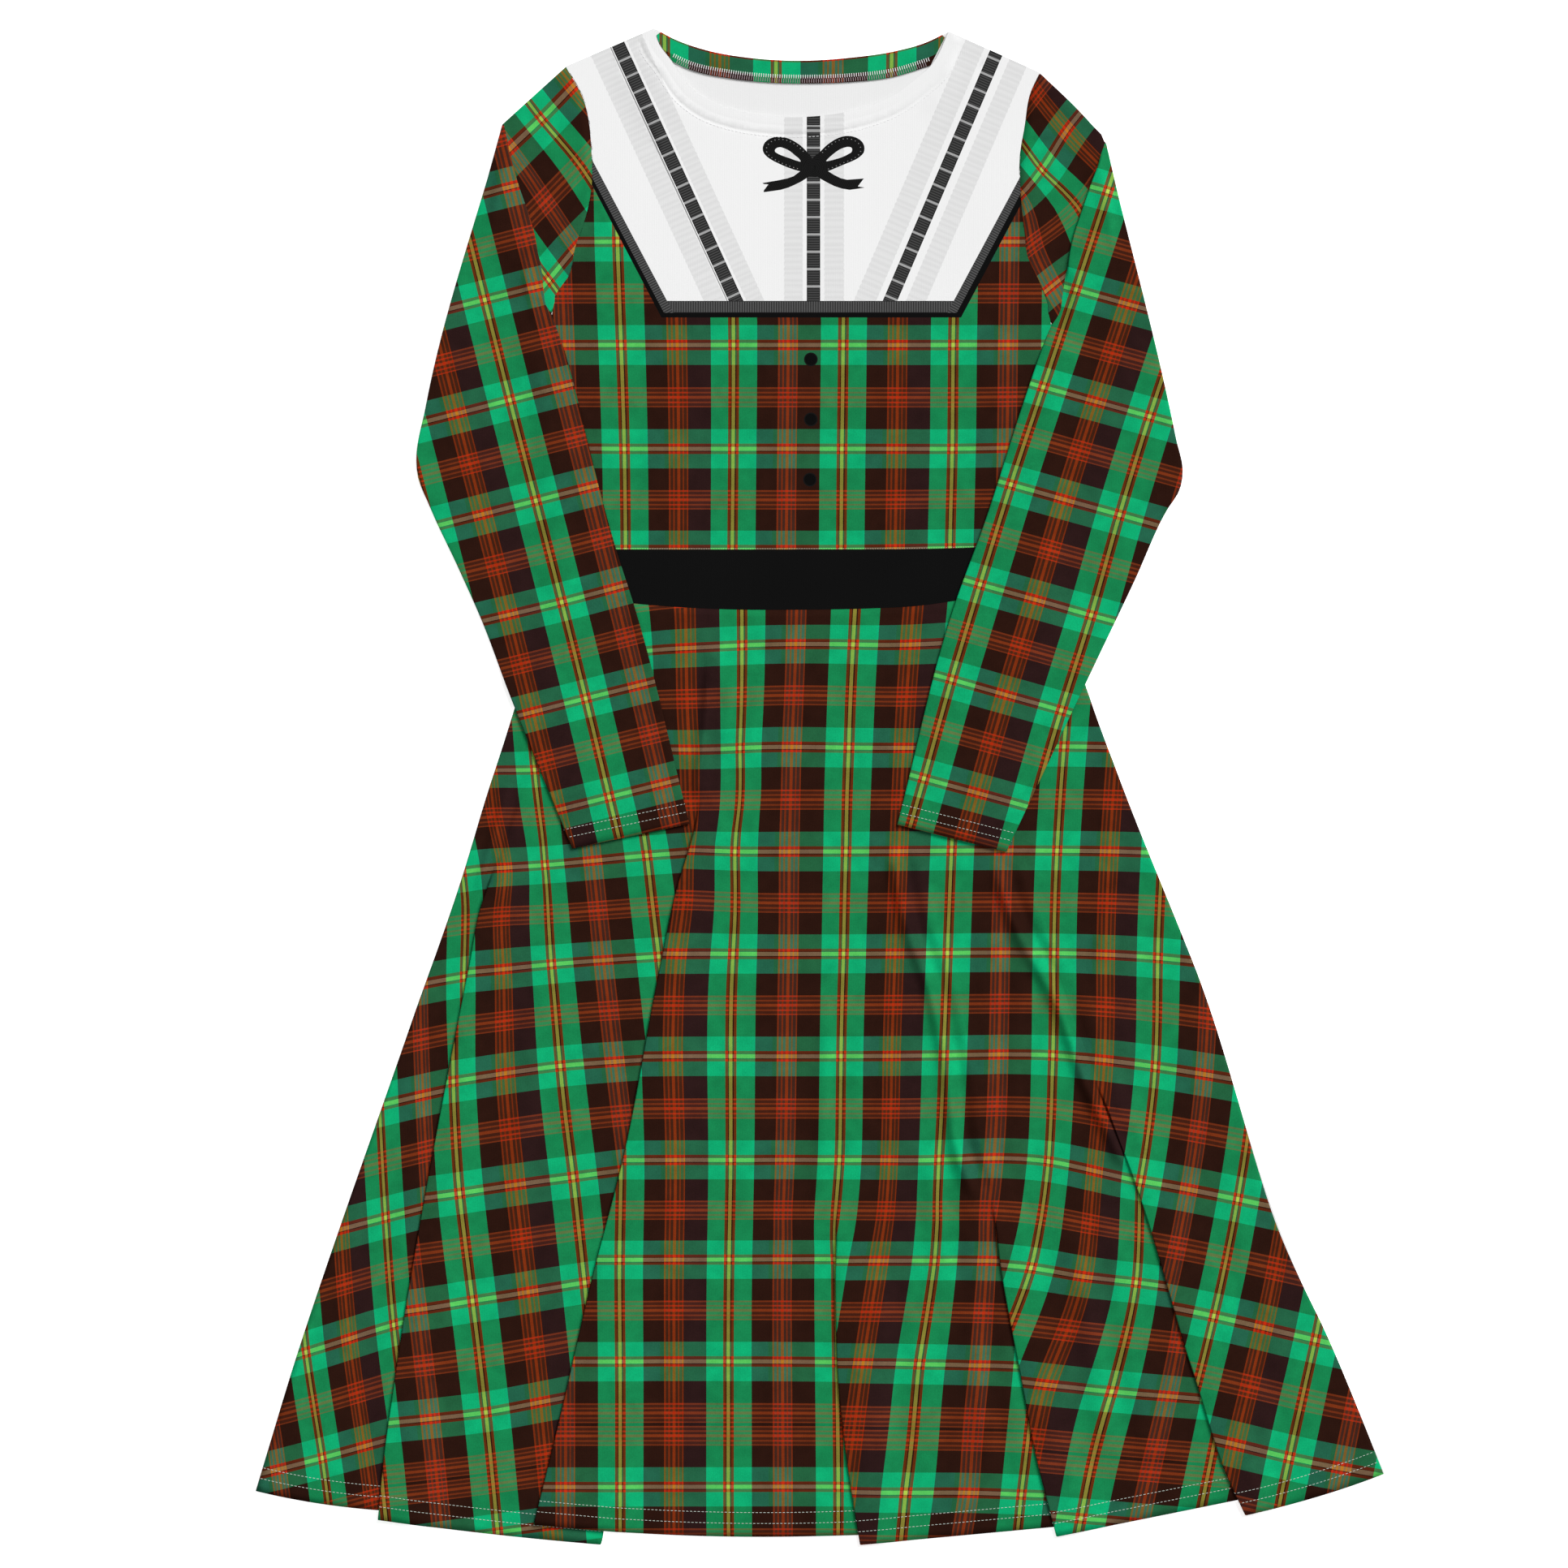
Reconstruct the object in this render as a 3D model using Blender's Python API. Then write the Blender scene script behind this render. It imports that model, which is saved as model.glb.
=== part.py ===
"""Midi dress in a printed stretch knit, laid flat with its front up.

Lengths are in millimetres up to add_mesh and add_flat_piece, which write
metres. X runs to the right of the dress as it is seen from above, Y towards
the neck and Z up from the surface that the dress lies on. The origin is on
that surface, under the middle of the dress's outline.
"""
import math
from collections import namedtuple

import bmesh
import bpy
import numpy as np

MM = 0.001

# Cloth wall, and the gap that is left at seams and between laid layers
CLOTH = 1.1
GAP = 0.3
LAYER = CLOTH + GAP
ROLL = LAYER / 2
EDGE_INSET = ROLL + CLOTH / 2

# Heights of the middle of the wall in the two layers of the body
BACK_MID = CLOTH / 2
FRONT_MID = BACK_MID + LAYER
BODY_HEIGHT = 2 * LAYER

# Driving sizes of the dress as it lies
LENGTH = 1177.0
HEM_SWEEP = 876.4
NECK_WIDTH = 229.0
SHOULDER_WIDTH = 368.5
WAIST_FLAT = 346.0
WAISTBAND_DEPTH = 46.0
NECK_TURNING = 18.0
BACK_HEM_LIFT = 6.0

# A knife fold: facets in each roll, shortest turned-under run and the way its
# upper layer settles back onto the lower one
ROLL_FACETS = 3
SHORTEST_TUCK = 0.8
SLIGHTEST_TURN = 0.02
SETTLE_START = 6.0
SETTLE_RUN = 24.0

# The sleeve rises over the body's side between these distances outside it
RISE_START = 36.0
RISE_END = 16.0

TARTAN = ("tartan_knit", (0.06, 0.26, 0.13), 0.75)
YOKE = ("yoke_knit", (0.86, 0.86, 0.86), 0.75)
BLACK = ("black_knit", (0.01, 0.01, 0.01), 0.8)

Point = namedtuple("Point", "x y")

# Half outlines, from the waist seam up to the shoulder and into the neck
FRONT_NECK = (
    Point(-128.8, 588.4), Point(-125.7, 577.7), Point(-115.0, 562.6), Point(-101.7, 543.1),
    Point(-85.4, 531.1), Point(-69.6, 525.4), Point(-45.0, 520.7), Point(-6.0, 519.9),
    Point(35.6, 527.3), Point(55.1, 535.2), Point(74.0, 548.7), Point(86.6, 560.1),
    Point(99.9, 585.9),
)
BACK_NECK = (
    Point(-128.8, 588.4), Point(-113.7, 580.2), Point(-88.5, 571.4), Point(-57.0, 565.7),
    Point(-16.0, 563.2), Point(24.9, 565.7), Point(56.4, 570.2), Point(81.6, 577.1),
    Point(99.9, 585.9),
)
LEFT_ARMHOLE = (
    Point(-197.5, 558.8), Point(-183.6, 533.0), Point(-177.3, 490.1), Point(-177.3, 466.2),
    Point(-180.5, 447.3), Point(-190.0, 418.3), Point(-195.6, 396.3), Point(-203.2, 386.0),
    Point(-206.9, 379.0), Point(-206.6, 374.0),
)
RIGHT_ARMHOLE = (
    Point(171.0, 553.8), Point(163.5, 537.4), Point(159.1, 510.9), Point(155.9, 493.3),
    Point(155.9, 456.1), Point(158.4, 430.9), Point(161.6, 409.5), Point(167.3, 397.5),
    Point(173.8, 383.5), Point(177.2, 374.5), Point(177.4, 366.5),
)
LEFT_SIDE = (
    Point(-206.6, 374.0), Point(-201.0, 362.0), Point(-196.0, 340.0), Point(-191.0, 270.0),
    Point(-188.0, 184.0), Point(-189.0, 141.0), Point(-203.0, 112.0), Point(-238.0, 57.0),
    Point(-258.6, -6.9), Point(-278.8, -73.1), Point(-321.6, -195.9), Point(-411.9, -460.5),
    Point(-438.2, -546.8),
)
RIGHT_SIDE = (
    Point(177.4, 366.5), Point(172.0, 354.0), Point(168.0, 330.0), Point(162.0, 260.0),
    Point(158.0, 184.0), Point(159.0, 141.0), Point(178.0, 112.0), Point(206.0, 78.0),
    Point(238.0, -5.0), Point(295.8, -155.0), Point(365.1, -364.8), Point(407.9, -460.5),
    Point(438.2, -533.0),
)
WAIST_SEAM = (Point(-188.0, 184.0), Point(-16.0, 184.0), Point(90.0, 184.6), Point(158.0, 187.0))
SKIRT_SEAM = (
    Point(-189.0, 147.0), Point(-132.6, 140.9), Point(-73.0, 137.5), Point(-16.0, 137.2),
    Point(41.3, 138.3), Point(72.6, 139.9), Point(105.0, 144.0), Point(159.0, 152.0),
)
NECK_TURNING_EDGE = (
    Point(-114.4, 562.4), Point(-101.1, 556.3), Point(-69.6, 549.4), Point(-38.1, 546.2),
    Point(-6.6, 545.6), Point(24.9, 546.8), Point(56.4, 550.6), Point(85.6, 559.4),
)

# The skirt's laid folds. Each turns the layer on its left under the layer on
# its right: edge is its visible edge from the waist down, begins and turned
# are the heights where it starts to lift and where it is fully over, tuck is
# how far it runs under at the hem, and the last two are the heights of the
# hem at its hidden and visible edges.
Fold = namedtuple("Fold", "name edge begins turned tuck hem_under hem_over")
FOLDS = (
    Fold("far_left", (
        Point(-172.0, 141.0), Point(-253.0, -64.0), Point(-262.5, -92.0), Point(-273.0, -144.0),
        Point(-330.4, -465.0), Point(-338.0, -520.0), Point(-343.0, -569.0),
    ), -50.0, -110.0, 21.0, -563.0, -569.2),
    Fold("left", (
        Point(-95.0, 141.0), Point(-91.0, 6.0), Point(-94.8, -19.5), Point(-101.1, -45.4),
        Point(-111.4, -81.0), Point(-125.0, -145.5), Point(-152.8, -289.0),
        Point(-176.7, -381.8), Point(-200.7, -485.7), Point(-222.0, -573.0),
    ), 2.0, -72.0, 53.0, -588.4, -572.7),
    Fold("middle", (
        Point(-22.0, 141.0), Point(12.3, -321.0), Point(12.3, -397.5), Point(14.2, -460.0),
        Point(22.4, -533.0), Point(31.2, -588.0),
    ), -322.0, -384.0, 16.0, -579.8, -588.4),
    Fold("right", (
        Point(45.0, 141.0), Point(133.0, -322.0), Point(142.7, -387.5), Point(157.2, -464.3),
        Point(165.6, -510.0), Point(183.3, -581.0),
    ), -312.0, -374.0, 18.0, -573.0, -581.9),
    Fold("far_right", (
        Point(105.0, 141.0), Point(208.2, -215.8), Point(224.6, -255.5), Point(240.3, -296.0),
        Point(291.5, -460.5), Point(317.4, -538.0), Point(329.0, -565.0),
    ), -214.0, -288.0, 12.0, -551.0, -565.4),
)
HEM_LEFT = -546.8
HEM_RIGHT = -533.6
# How far the hem dips below a straight line in each of the six panels
PANEL_DIPS = (2.8, 1.3, 5.5, 0.0, 0.0, 1.9)
SKIRT_ROWS = (
    141.0, 105.0, 70.0, 35.0, 5.0, -10.0, -24.0, -38.0, -52.0, -66.0, -80.0, -94.0, -112.0,
    -145.0, -180.0, -212.0, -227.0, -242.0, -257.0, -272.0, -290.0, -310.0, -322.0, -334.0,
    -346.0, -358.0, -370.0, -386.0, -420.0, -460.0, -500.0, -540.0, -580.0,
)

# A sleeve: cap_edge runs from the shoulder to the outer end of the shoulder
# fold, fold along that fold to the underarm, outer and inner down the lower
# sleeve's two edges. settled and clear are the heights between which its
# inner edge climbs onto the body.
Sleeve = namedtuple("Sleeve", "name side armhole cap_edge fold outer inner clear settled")
SLEEVES = (
    Sleeve("sleeve_left", -1, LEFT_ARMHOLE,
           (Point(-197.5, 558.8), Point(-246.0, 514.5)),
           (Point(-246.0, 514.5), Point(-235.3, 470.0), Point(-223.3, 434.0),
            Point(-217.0, 404.0), Point(-214.8, 385.0), Point(-213.2, 374.0),
            Point(-209.0, 365.6)),
           (Point(-246.0, 514.5), Point(-306.2, 295.5), Point(-313.6, 252.0),
            Point(-312.9, 243.0), Point(-303.0, 216.7), Point(-281.3, 170.1),
            Point(-262.1, 126.8), Point(-242.8, 75.4), Point(-192.5, -48.5)),
           (Point(-207.1, 367.5), Point(-191.9, 315.9), Point(-181.0, 270.9),
            Point(-158.1, 184.1), Point(-144.8, 142.6), Point(-101.1, -29.0)),
           364.0, 335.0),
    Sleeve("sleeve_right", 1, RIGHT_ARMHOLE,
           (Point(171.0, 553.8), Point(203.2, 522.3), Point(212.0, 512.6),
            Point(218.9, 505.3), Point(221.5, 499.6)),
           (Point(221.5, 499.6), Point(207.6, 459.3), Point(195.6, 422.1),
            Point(191.0, 398.0), Point(188.2, 379.0), Point(186.0, 367.5),
            Point(179.9, 357.8)),
           (Point(221.5, 499.6), Point(276.4, 270.3), Point(281.7, 243.0),
            Point(279.6, 231.0), Point(269.1, 213.9), Point(244.6, 160.3),
            Point(205.7, 78.8), Point(144.6, -51.0)),
           (Point(178.4, 359.6), Point(156.6, 295.5), Point(126.0, 201.0),
            Point(105.0, 144.0), Point(59.5, -29.6)),
           358.0, 336.0),
)
SHOULDER_TUCK = 9.0
CAP_STEPS = 3
ACROSS = (0.0, 0.05, 0.1, 0.16, 0.24, 0.4, 0.56, 0.63, 0.69, 0.75, 0.81, 0.88, 0.94, 1.0)
TUCK_FADE = 0.24
TUCK_ENDS = 0.81
TUCK_GROWS = 0.16
UNDERARM_SQUEEZE = 0.35
# How far the columns below the shoulder fold spread away from the underarm
FAN_OUT = 1.5
LOWER_STATIONS = (
    0.075, 0.11, 0.16, 0.21, 0.27, 0.34, 0.4, 0.44, 0.47, 0.5, 0.55, 0.6, 0.64, 0.68, 0.72,
    0.76, 0.8, 0.84, 0.88, 0.94, 1.0,
)


def ease(amount):
    """Zero to one with no corner at either end."""
    amount = min(max(amount, 0.0), 1.0)
    return amount * amount * (3 - 2 * amount)


def glide(places, values, place):
    """Value at a place on a smooth curve through places, which rise."""
    last = len(places) - 1
    index = min(max(int(np.searchsorted(places, place)) - 1, 0), last - 1)
    steps = [places[i + 1] - places[i] for i in range(last)]
    slopes = [(values[i + 1] - values[i]) / steps[i] for i in range(last)]

    def slope_at(i):
        if i in (0, last):
            return slopes[0] if i == 0 else slopes[-1]
        return (slopes[i - 1] * steps[i] + slopes[i] * steps[i - 1]) / (steps[i - 1] + steps[i])

    run = steps[index]
    part = (place - places[index]) / run
    rise = values[index + 1] - values[index]
    start = run * slope_at(index)
    end = run * slope_at(index + 1)
    bend = part * part * (3 - 2 * part)
    return (values[index] + rise * bend + start * part * (1 - part) ** 2
            + end * part * part * (part - 1))


class Line:
    """A smooth line through points, read by share of its length."""

    def __init__(self, points):
        self.points = np.array([(p[0], p[1]) for p in points], dtype=float)
        runs = np.hypot(*np.diff(self.points, axis=0).T)
        self.reach = np.concatenate(([0.0], np.cumsum(runs)))
        self.length = self.reach[-1]

    def at(self, share):
        place = share * self.length
        return np.array([glide(self.reach, self.points[:, axis], place) for axis in (0, 1)])

    def along(self, share):
        step = 0.002
        way = self.at(min(share + step, 1.0)) - self.at(max(share - step, 0.0))
        return way / np.hypot(*way)

    def spread(self, count):
        return [self.at(i / (count - 1)) for i in range(count)]


def across_at(points, height):
    """X of a line that falls from point to point, at a height."""
    falling = sorted(points, key=lambda point: point.y)
    return glide([p.y for p in falling], [p.x for p in falling], height)


def height_at(points, x):
    """Y of a line that runs to the right, at an x."""
    return glide([p.x for p in points], [p.y for p in points], x)


def material(finish):
    name, colour, roughness = finish
    found = bpy.data.materials.get(name)
    if found:
        return found
    made = bpy.data.materials.new(name)
    made.use_nodes = True
    shader = made.node_tree.nodes["Principled BSDF"]
    shader.inputs["Base Color"].default_value = (*colour, 1.0)
    shader.inputs["Roughness"].default_value = roughness
    shader.inputs["Metallic"].default_value = 0.0
    return made


def add_object(name, data, finish, collection):
    piece = bpy.data.objects.new(name, data)
    data.materials.append(material(finish))
    collection.objects.link(piece)
    return piece


def add_mesh(name, points, faces, finish, collection):
    """A closed solid from points in millimetres."""
    data = bpy.data.meshes.new(name)
    data.from_pydata([tuple(MM * float(c) for c in p) for p in points], [], faces)
    work = bmesh.new()
    work.from_mesh(data)
    bmesh.ops.recalc_face_normals(work, faces=work.faces)
    work.to_mesh(data)
    work.free()
    return add_object(name, data, finish, collection)


def add_flat_piece(name, outline, middle, finish, collection):
    """A flat panel of cloth inside an outline, its wall's middle at a height."""
    outline_curve = bpy.data.curves.new(name, "CURVE")
    outline_curve.dimensions = "2D"
    outline_curve.fill_mode = "BOTH"
    outline_curve.extrude = MM * CLOTH / 2
    spline = outline_curve.splines.new("POLY")
    spline.points.add(len(outline) - 1)
    for point, place in zip(spline.points, outline):
        point.co = (MM * place[0], MM * place[1], 0.0, 1.0)
    spline.use_cyclic_u = True
    shape = bpy.data.objects.new(name + "_outline", outline_curve)
    collection.objects.link(shape)
    bpy.context.view_layer.update()
    evaluated = shape.evaluated_get(bpy.context.evaluated_depsgraph_get())
    data = bpy.data.meshes.new_from_object(evaluated)
    bpy.data.objects.remove(shape)
    work = bmesh.new()
    work.from_mesh(data)
    bmesh.ops.remove_doubles(work, verts=work.verts, dist=0.00001)
    bmesh.ops.recalc_face_normals(work, faces=work.faces)
    work.to_mesh(data)
    work.free()
    data.name = name
    piece = add_object(name, data, finish, collection)
    piece.location.z = MM * middle
    return piece


def sheet_faces(rows, columns, first, flipped=False):
    """Quads over a grid of points that starts at index first."""
    faces = []
    for row in range(rows - 1):
        for column in range(columns - 1):
            corner = first + row * columns + column
            quad = (corner, corner + columns, corner + columns + 1, corner + 1)
            faces.append(quad[::-1] if flipped else quad)
    return faces


def border(rows, columns):
    """Indices once round the edge of a grid of points."""
    top = list(range(columns))
    right = [row * columns + columns - 1 for row in range(1, rows)]
    bottom = [(rows - 1) * columns + column for column in range(columns - 2, -1, -1)]
    left = [row * columns for row in range(rows - 2, 0, -1)]
    return top + right + bottom + left


def add_sheet(name, middles, normals, finish, collection):
    """A wall of cloth on both sides of a grid of middle points."""
    rows, columns = middles.shape[:2]
    half = CLOTH / 2
    upper = (middles + half * normals).reshape(-1, 3)
    lower = (middles - half * normals).reshape(-1, 3)
    count = rows * columns
    faces = sheet_faces(rows, columns, 0) + sheet_faces(rows, columns, count, flipped=True)
    edge = border(rows, columns)
    for here, there in zip(edge, edge[1:] + edge[:1]):
        faces.append((here, there, there + count, here + count))
    return add_mesh(name, np.concatenate((upper, lower)), faces, finish, collection)


def add_tube(name, rings, normals, finish, collection):
    """A wall of cloth on both sides of rings of middle points, open at its ends."""
    stations, size = rings.shape[:2]
    half = CLOTH / 2
    count = stations * size
    points = np.concatenate(((rings + half * normals).reshape(-1, 3),
                             (rings - half * normals).reshape(-1, 3)))
    faces = []
    for station in range(stations - 1):
        for place in range(size):
            here = station * size + place
            beside = station * size + (place + 1) % size
            faces.append((here, here + size, beside + size, beside))
            inner = (here, beside, beside + size, here + size)
            faces.append(tuple(index + count for index in inner))
    for station in (0, stations - 1):
        for place in range(size):
            here = station * size + place
            beside = station * size + (place + 1) % size
            faces.append((here, beside, beside + count, here + count))
    return add_mesh(name, points, faces, finish, collection)


def fold_profile(turn, tuck):
    """Section through a fold: (way, rise, lean) from its lower to its upper layer.

    turn is how far the cloth has rolled over, from 0, flat, to pi, a knife
    fold. Its two rolls keep their length, so a slight turn is a soft ridge.
    The visible edge of a full fold is at way zero.
    """
    turn = max(turn, SLIGHTEST_TURN)
    radius = ROLL * math.pi / turn
    roll = [turn * i / ROLL_FACETS for i in range(ROLL_FACETS + 1)]
    section = [(radius * math.sin(a), radius * (1 - math.cos(a)), a) for a in roll]
    way = section[-1][0] + tuck * math.cos(turn)
    rise = section[-1][1] + tuck * math.sin(turn)
    for angle in roll[::-1]:
        section.append((way + radius * (math.sin(turn) - math.sin(angle)),
                        rise + radius * (math.cos(angle) - math.cos(turn)), angle))
    middle = section[-1][0] / 2
    shift = (tuck / 2 + ROLL) * (1 - math.cos(turn)) / 2 - middle
    return [(way + shift, rise, lean) for way, rise, lean in section]


def fold_at(fold, height):
    """A skirt fold's section at a height, and how high its upper layer lies."""
    turn = math.pi * ease((fold.begins - height) / (fold.begins - fold.turned))
    below = max(fold.turned - height, 0.0) / (fold.turned - fold.hem_over)
    return fold_profile(turn, SHORTEST_TUCK + (fold.tuck - SHORTEST_TUCK) * below)


def skirt_columns(height):
    """Section through the skirt's front at a height.

    Each entry is (x, rise, lean, panel, share): panel is the number of folds
    passed, and share how far along the hem from its hidden edge to its
    visible one a point of a fold is, or None on a panel.
    """
    columns = [(across_at(LEFT_SIDE, height), 0.0, 0.0, 0, None)]
    for number, fold in enumerate(FOLDS):
        edge = across_at(fold.edge, height)
        section = fold_at(fold, height)
        for place, (way, rise, lean) in enumerate(section):
            columns.append((edge + way, rise, lean, number, place / (len(section) - 1)))
        top = section[-1][1]
        start = max(section[0][0], section[-1][0]) + SETTLE_START
        for part in (0.0, 0.5, 1.0):
            columns.append((edge + start + part * SETTLE_RUN, top * (1 - ease(part)), 0.0,
                            number + 1, None))
    columns.append((across_at(RIGHT_SIDE, height), 0.0, 0.0, len(FOLDS), None))
    return columns


def hem_heights(columns):
    """Height of the hem at each column of the skirt's lowest section."""
    starts = [HEM_LEFT] + [fold.hem_over for fold in FOLDS]
    ends = [fold.hem_under for fold in FOLDS] + [HEM_RIGHT]
    first = [columns[0][0]] + [c[0] for c in columns if c[4] == 1.0]
    last = [c[0] for c in columns if c[4] == 0.0] + [columns[-1][0]]
    heights = []
    for x, _, _, panel, share in columns:
        if share is not None:
            heights.append(FOLDS[panel].hem_under
                           + share * (FOLDS[panel].hem_over - FOLDS[panel].hem_under))
            continue
        part = (x - first[panel]) / (last[panel] - first[panel])
        level = starts[panel] + part * (ends[panel] - starts[panel])
        heights.append(level - PANEL_DIPS[panel] * 4 * part * (1 - part))
    return heights


def waist_places():
    """Where the skirt's columns meet its waist seam, as (x, height)."""
    places = []
    for number, column in enumerate(skirt_columns(SKIRT_ROWS[0])):
        height = height_at(SKIRT_SEAM, column[0])
        x = skirt_columns(height)[number][0]
        places.append((x, height_at(SKIRT_SEAM, x)))
    return places


def skirt_front(collection):
    """The front of the skirt: six panels between five laid folds."""
    waist = waist_places()
    hem_row = skirt_columns(SKIRT_ROWS[-1])
    hem = hem_heights(hem_row)
    middles = []
    normals = []
    for level in SKIRT_ROWS:
        down = (SKIRT_ROWS[0] - level) / (SKIRT_ROWS[0] - SKIRT_ROWS[-1])
        points = []
        upright = []
        for number, place in enumerate(waist):
            height = level + (place[1] - GAP - SKIRT_ROWS[0]) * (1 - down)
            height += (hem[number] - SKIRT_ROWS[-1]) * down
            x, rise, lean = skirt_columns(height)[number][:3]
            points.append((x, height, FRONT_MID + rise))
            upright.append((-math.sin(lean), 0.0, math.cos(lean)))
        middles.append(points)
        normals.append(upright)
    add_sheet("skirt_front", np.array(middles), np.array(normals), TARTAN, collection)


def skirt_back(collection):
    """The back of the skirt, flat on the surface and just inside the front's hem."""
    heights = np.linspace(147.0, HEM_LEFT, 24)
    left = [(across_at(LEFT_SIDE, h), h) for h in heights[1:]]
    right = [(across_at(RIGHT_SIDE, h), h) for h in np.linspace(HEM_RIGHT, 152.0, 24)[:-1]]
    hem = []
    for share in np.linspace(0.0, 1.0, 21)[1:-1]:
        x = left[-1][0] + share * (right[0][0] - left[-1][0])
        level = HEM_LEFT + share * (HEM_RIGHT - HEM_LEFT)
        dip = (LENGTH - LAYER) / 2 + (HEM_LEFT + HEM_RIGHT) / 2
        hem.append((x, level - dip * (1 - (2 * share - 1) ** 2) + BACK_HEM_LIFT))
    seam = [(x, height - GAP) for x, height in waist_places()[::-1]]
    add_flat_piece("skirt_back", left + hem + right + seam, BACK_MID, TARTAN, collection)


def armhole_seam(points):
    """An armhole from the shoulder down, with a point at each column of its sleeve."""
    seam = Line(points)
    return [seam.at(0.0)] + [between_rolls(seam, share) for share in ACROSS] + [seam.at(1.0)]


def bodice_outline(neck):
    """Once round a bodice panel, from its left waist corner."""
    left_side = [p for p in LEFT_SIDE if p.y >= 184.0][::-1]
    right_side = [p for p in RIGHT_SIDE if p.y >= 184.0]
    outline = Line(left_side).spread(8)[:-1]
    outline += armhole_seam(LEFT_ARMHOLE)[::-1]
    outline += Line(neck).spread(28)
    outline += armhole_seam(RIGHT_ARMHOLE)
    outline += Line(right_side).spread(8)[1:-1]
    seam = Line(WAIST_SEAM[::-1]).spread(8)
    return outline + seam[:-1]


def bodice(collection):
    """Front and back of the bodice, and the turned edge inside the back neck."""
    add_flat_piece("bodice_front", bodice_outline(FRONT_NECK), FRONT_MID, YOKE, collection)
    add_flat_piece("bodice_back", bodice_outline(BACK_NECK), BACK_MID, TARTAN, collection)
    clear = 0.6
    corner = 4.0
    upper = [p for p in Line(BACK_NECK).spread(28)
             if FRONT_NECK[0].x + corner < p[0] < FRONT_NECK[-1].x - corner]
    lower = Line(NECK_TURNING_EDGE[::-1]).spread(22)
    left_end = [p for p in Line(FRONT_NECK[:3]).spread(6) if lower[-1][1] < p[1] < upper[0][1]]
    right_end = [p for p in Line(FRONT_NECK[-2:]).spread(6) if lower[0][1] < p[1] < upper[-1][1]]
    outline = upper + [(p[0] - clear, p[1]) for p in right_end[::-1]] + lower
    outline += [(p[0] + clear, p[1]) for p in left_end[::-1]]
    add_flat_piece("neck_turning", outline, FRONT_MID, TARTAN, collection)


def waistband(name, middle, collection):
    """The black band between the bodice and the skirt, one for each side."""
    upper = [(p[0], p[1] - GAP) for p in Line(WAIST_SEAM).spread(10)]
    lower = waist_places()[::-1]
    add_flat_piece(name, upper + lower, middle, BLACK, collection)


def body_rise(sleeve, place):
    """How far the body lifts a sleeve at a place."""
    points = LEFT_SIDE if sleeve.side < 0 else RIGHT_SIDE
    height = min(max(place[1], points[-1].y), points[0].y)
    outside = sleeve.side * (place[0] - across_at(points, height))
    onto = ease((RISE_START - outside) / (RISE_START - RISE_END))
    return BODY_HEIGHT * onto * ease((sleeve.clear - place[1]) / (sleeve.clear - sleeve.settled))


def across_lower(sleeve, outer, inner):
    """Shares across the lower sleeve, gathered where it climbs onto the body."""
    points = LEFT_SIDE if sleeve.side < 0 else RIGHT_SIDE
    crossings = []
    for distance in (RISE_START, RISE_END):
        crossing = 0.0
        for share in np.linspace(0.0, 1.0, 101):
            place = outer + share * (inner - outer)
            height = min(max(place[1], points[-1].y), points[0].y)
            if sleeve.side * (place[0] - across_at(points, height)) > distance:
                crossing = share
        crossings.append(crossing)
    low = min(max(crossings[0], 0.12), 0.75)
    high = min(max(crossings[1], low + 0.10), 0.88)
    shares = [low * part for part in (0.0, 0.25, 0.5, 0.75, 1.0)]
    shares += [low + (high - low) * part for part in (0.2, 0.4, 0.6, 0.8, 1.0)]
    return shares + [high + (1 - high) * part for part in (0.25, 0.5, 0.75, 1.0)]


def fanned(share):
    """A share across the top of the lower sleeve, spread away from the underarm."""
    return share - FAN_OUT * share * share * (1 - share)


def clear_share(line, share):
    """A share of a line across a sleeve, clear of the rolls at its two edges."""
    inset = EDGE_INSET / line.length
    return inset + share * (1 - 2 * inset)


def between_rolls(line, share):
    return line.at(clear_share(line, share))


def outward(side, line, share):
    """Level direction away from a sleeve that lies beside a downward line."""
    way = line.along(share)
    return side * np.array((-way[1], way[0]))


def swing(first, last, part):
    """Level direction part of the way round from one to another."""
    turned = math.atan2(first[0] * last[1] - first[1] * last[0], float(first @ last))
    angle = math.atan2(first[1], first[0]) + part * turned
    return np.array((math.cos(angle), math.sin(angle), 0.0))


def ring(front, back, front_normals, ways):
    """Middle points and normals once round a flattened tube.

    front and back run from the outer edge to the inner one, and ways are the
    level directions out of the tube at those two edges.
    """
    points = [np.array(p) for p in front]
    normals = [np.array(n) for n in front_normals]
    up = np.array((0.0, 0.0, 1.0))
    angles = [math.pi / 2 - math.pi * i / ROLL_FACETS for i in range(1, ROLL_FACETS)]

    def roll(upper, lower, way, order):
        for angle in order:
            aim = math.cos(angle) * way + math.sin(angle) * up
            points.append((upper + lower) / 2 + (upper[2] - lower[2]) / 2 * aim)
            normals.append(aim)

    roll(np.array(front[-1]), np.array(back[-1]), ways[1], angles)
    for place in back[::-1]:
        points.append(np.array(place))
        normals.append(-up)
    roll(np.array(front[0]), np.array(back[0]), ways[0], angles[::-1])
    return points, normals


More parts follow.
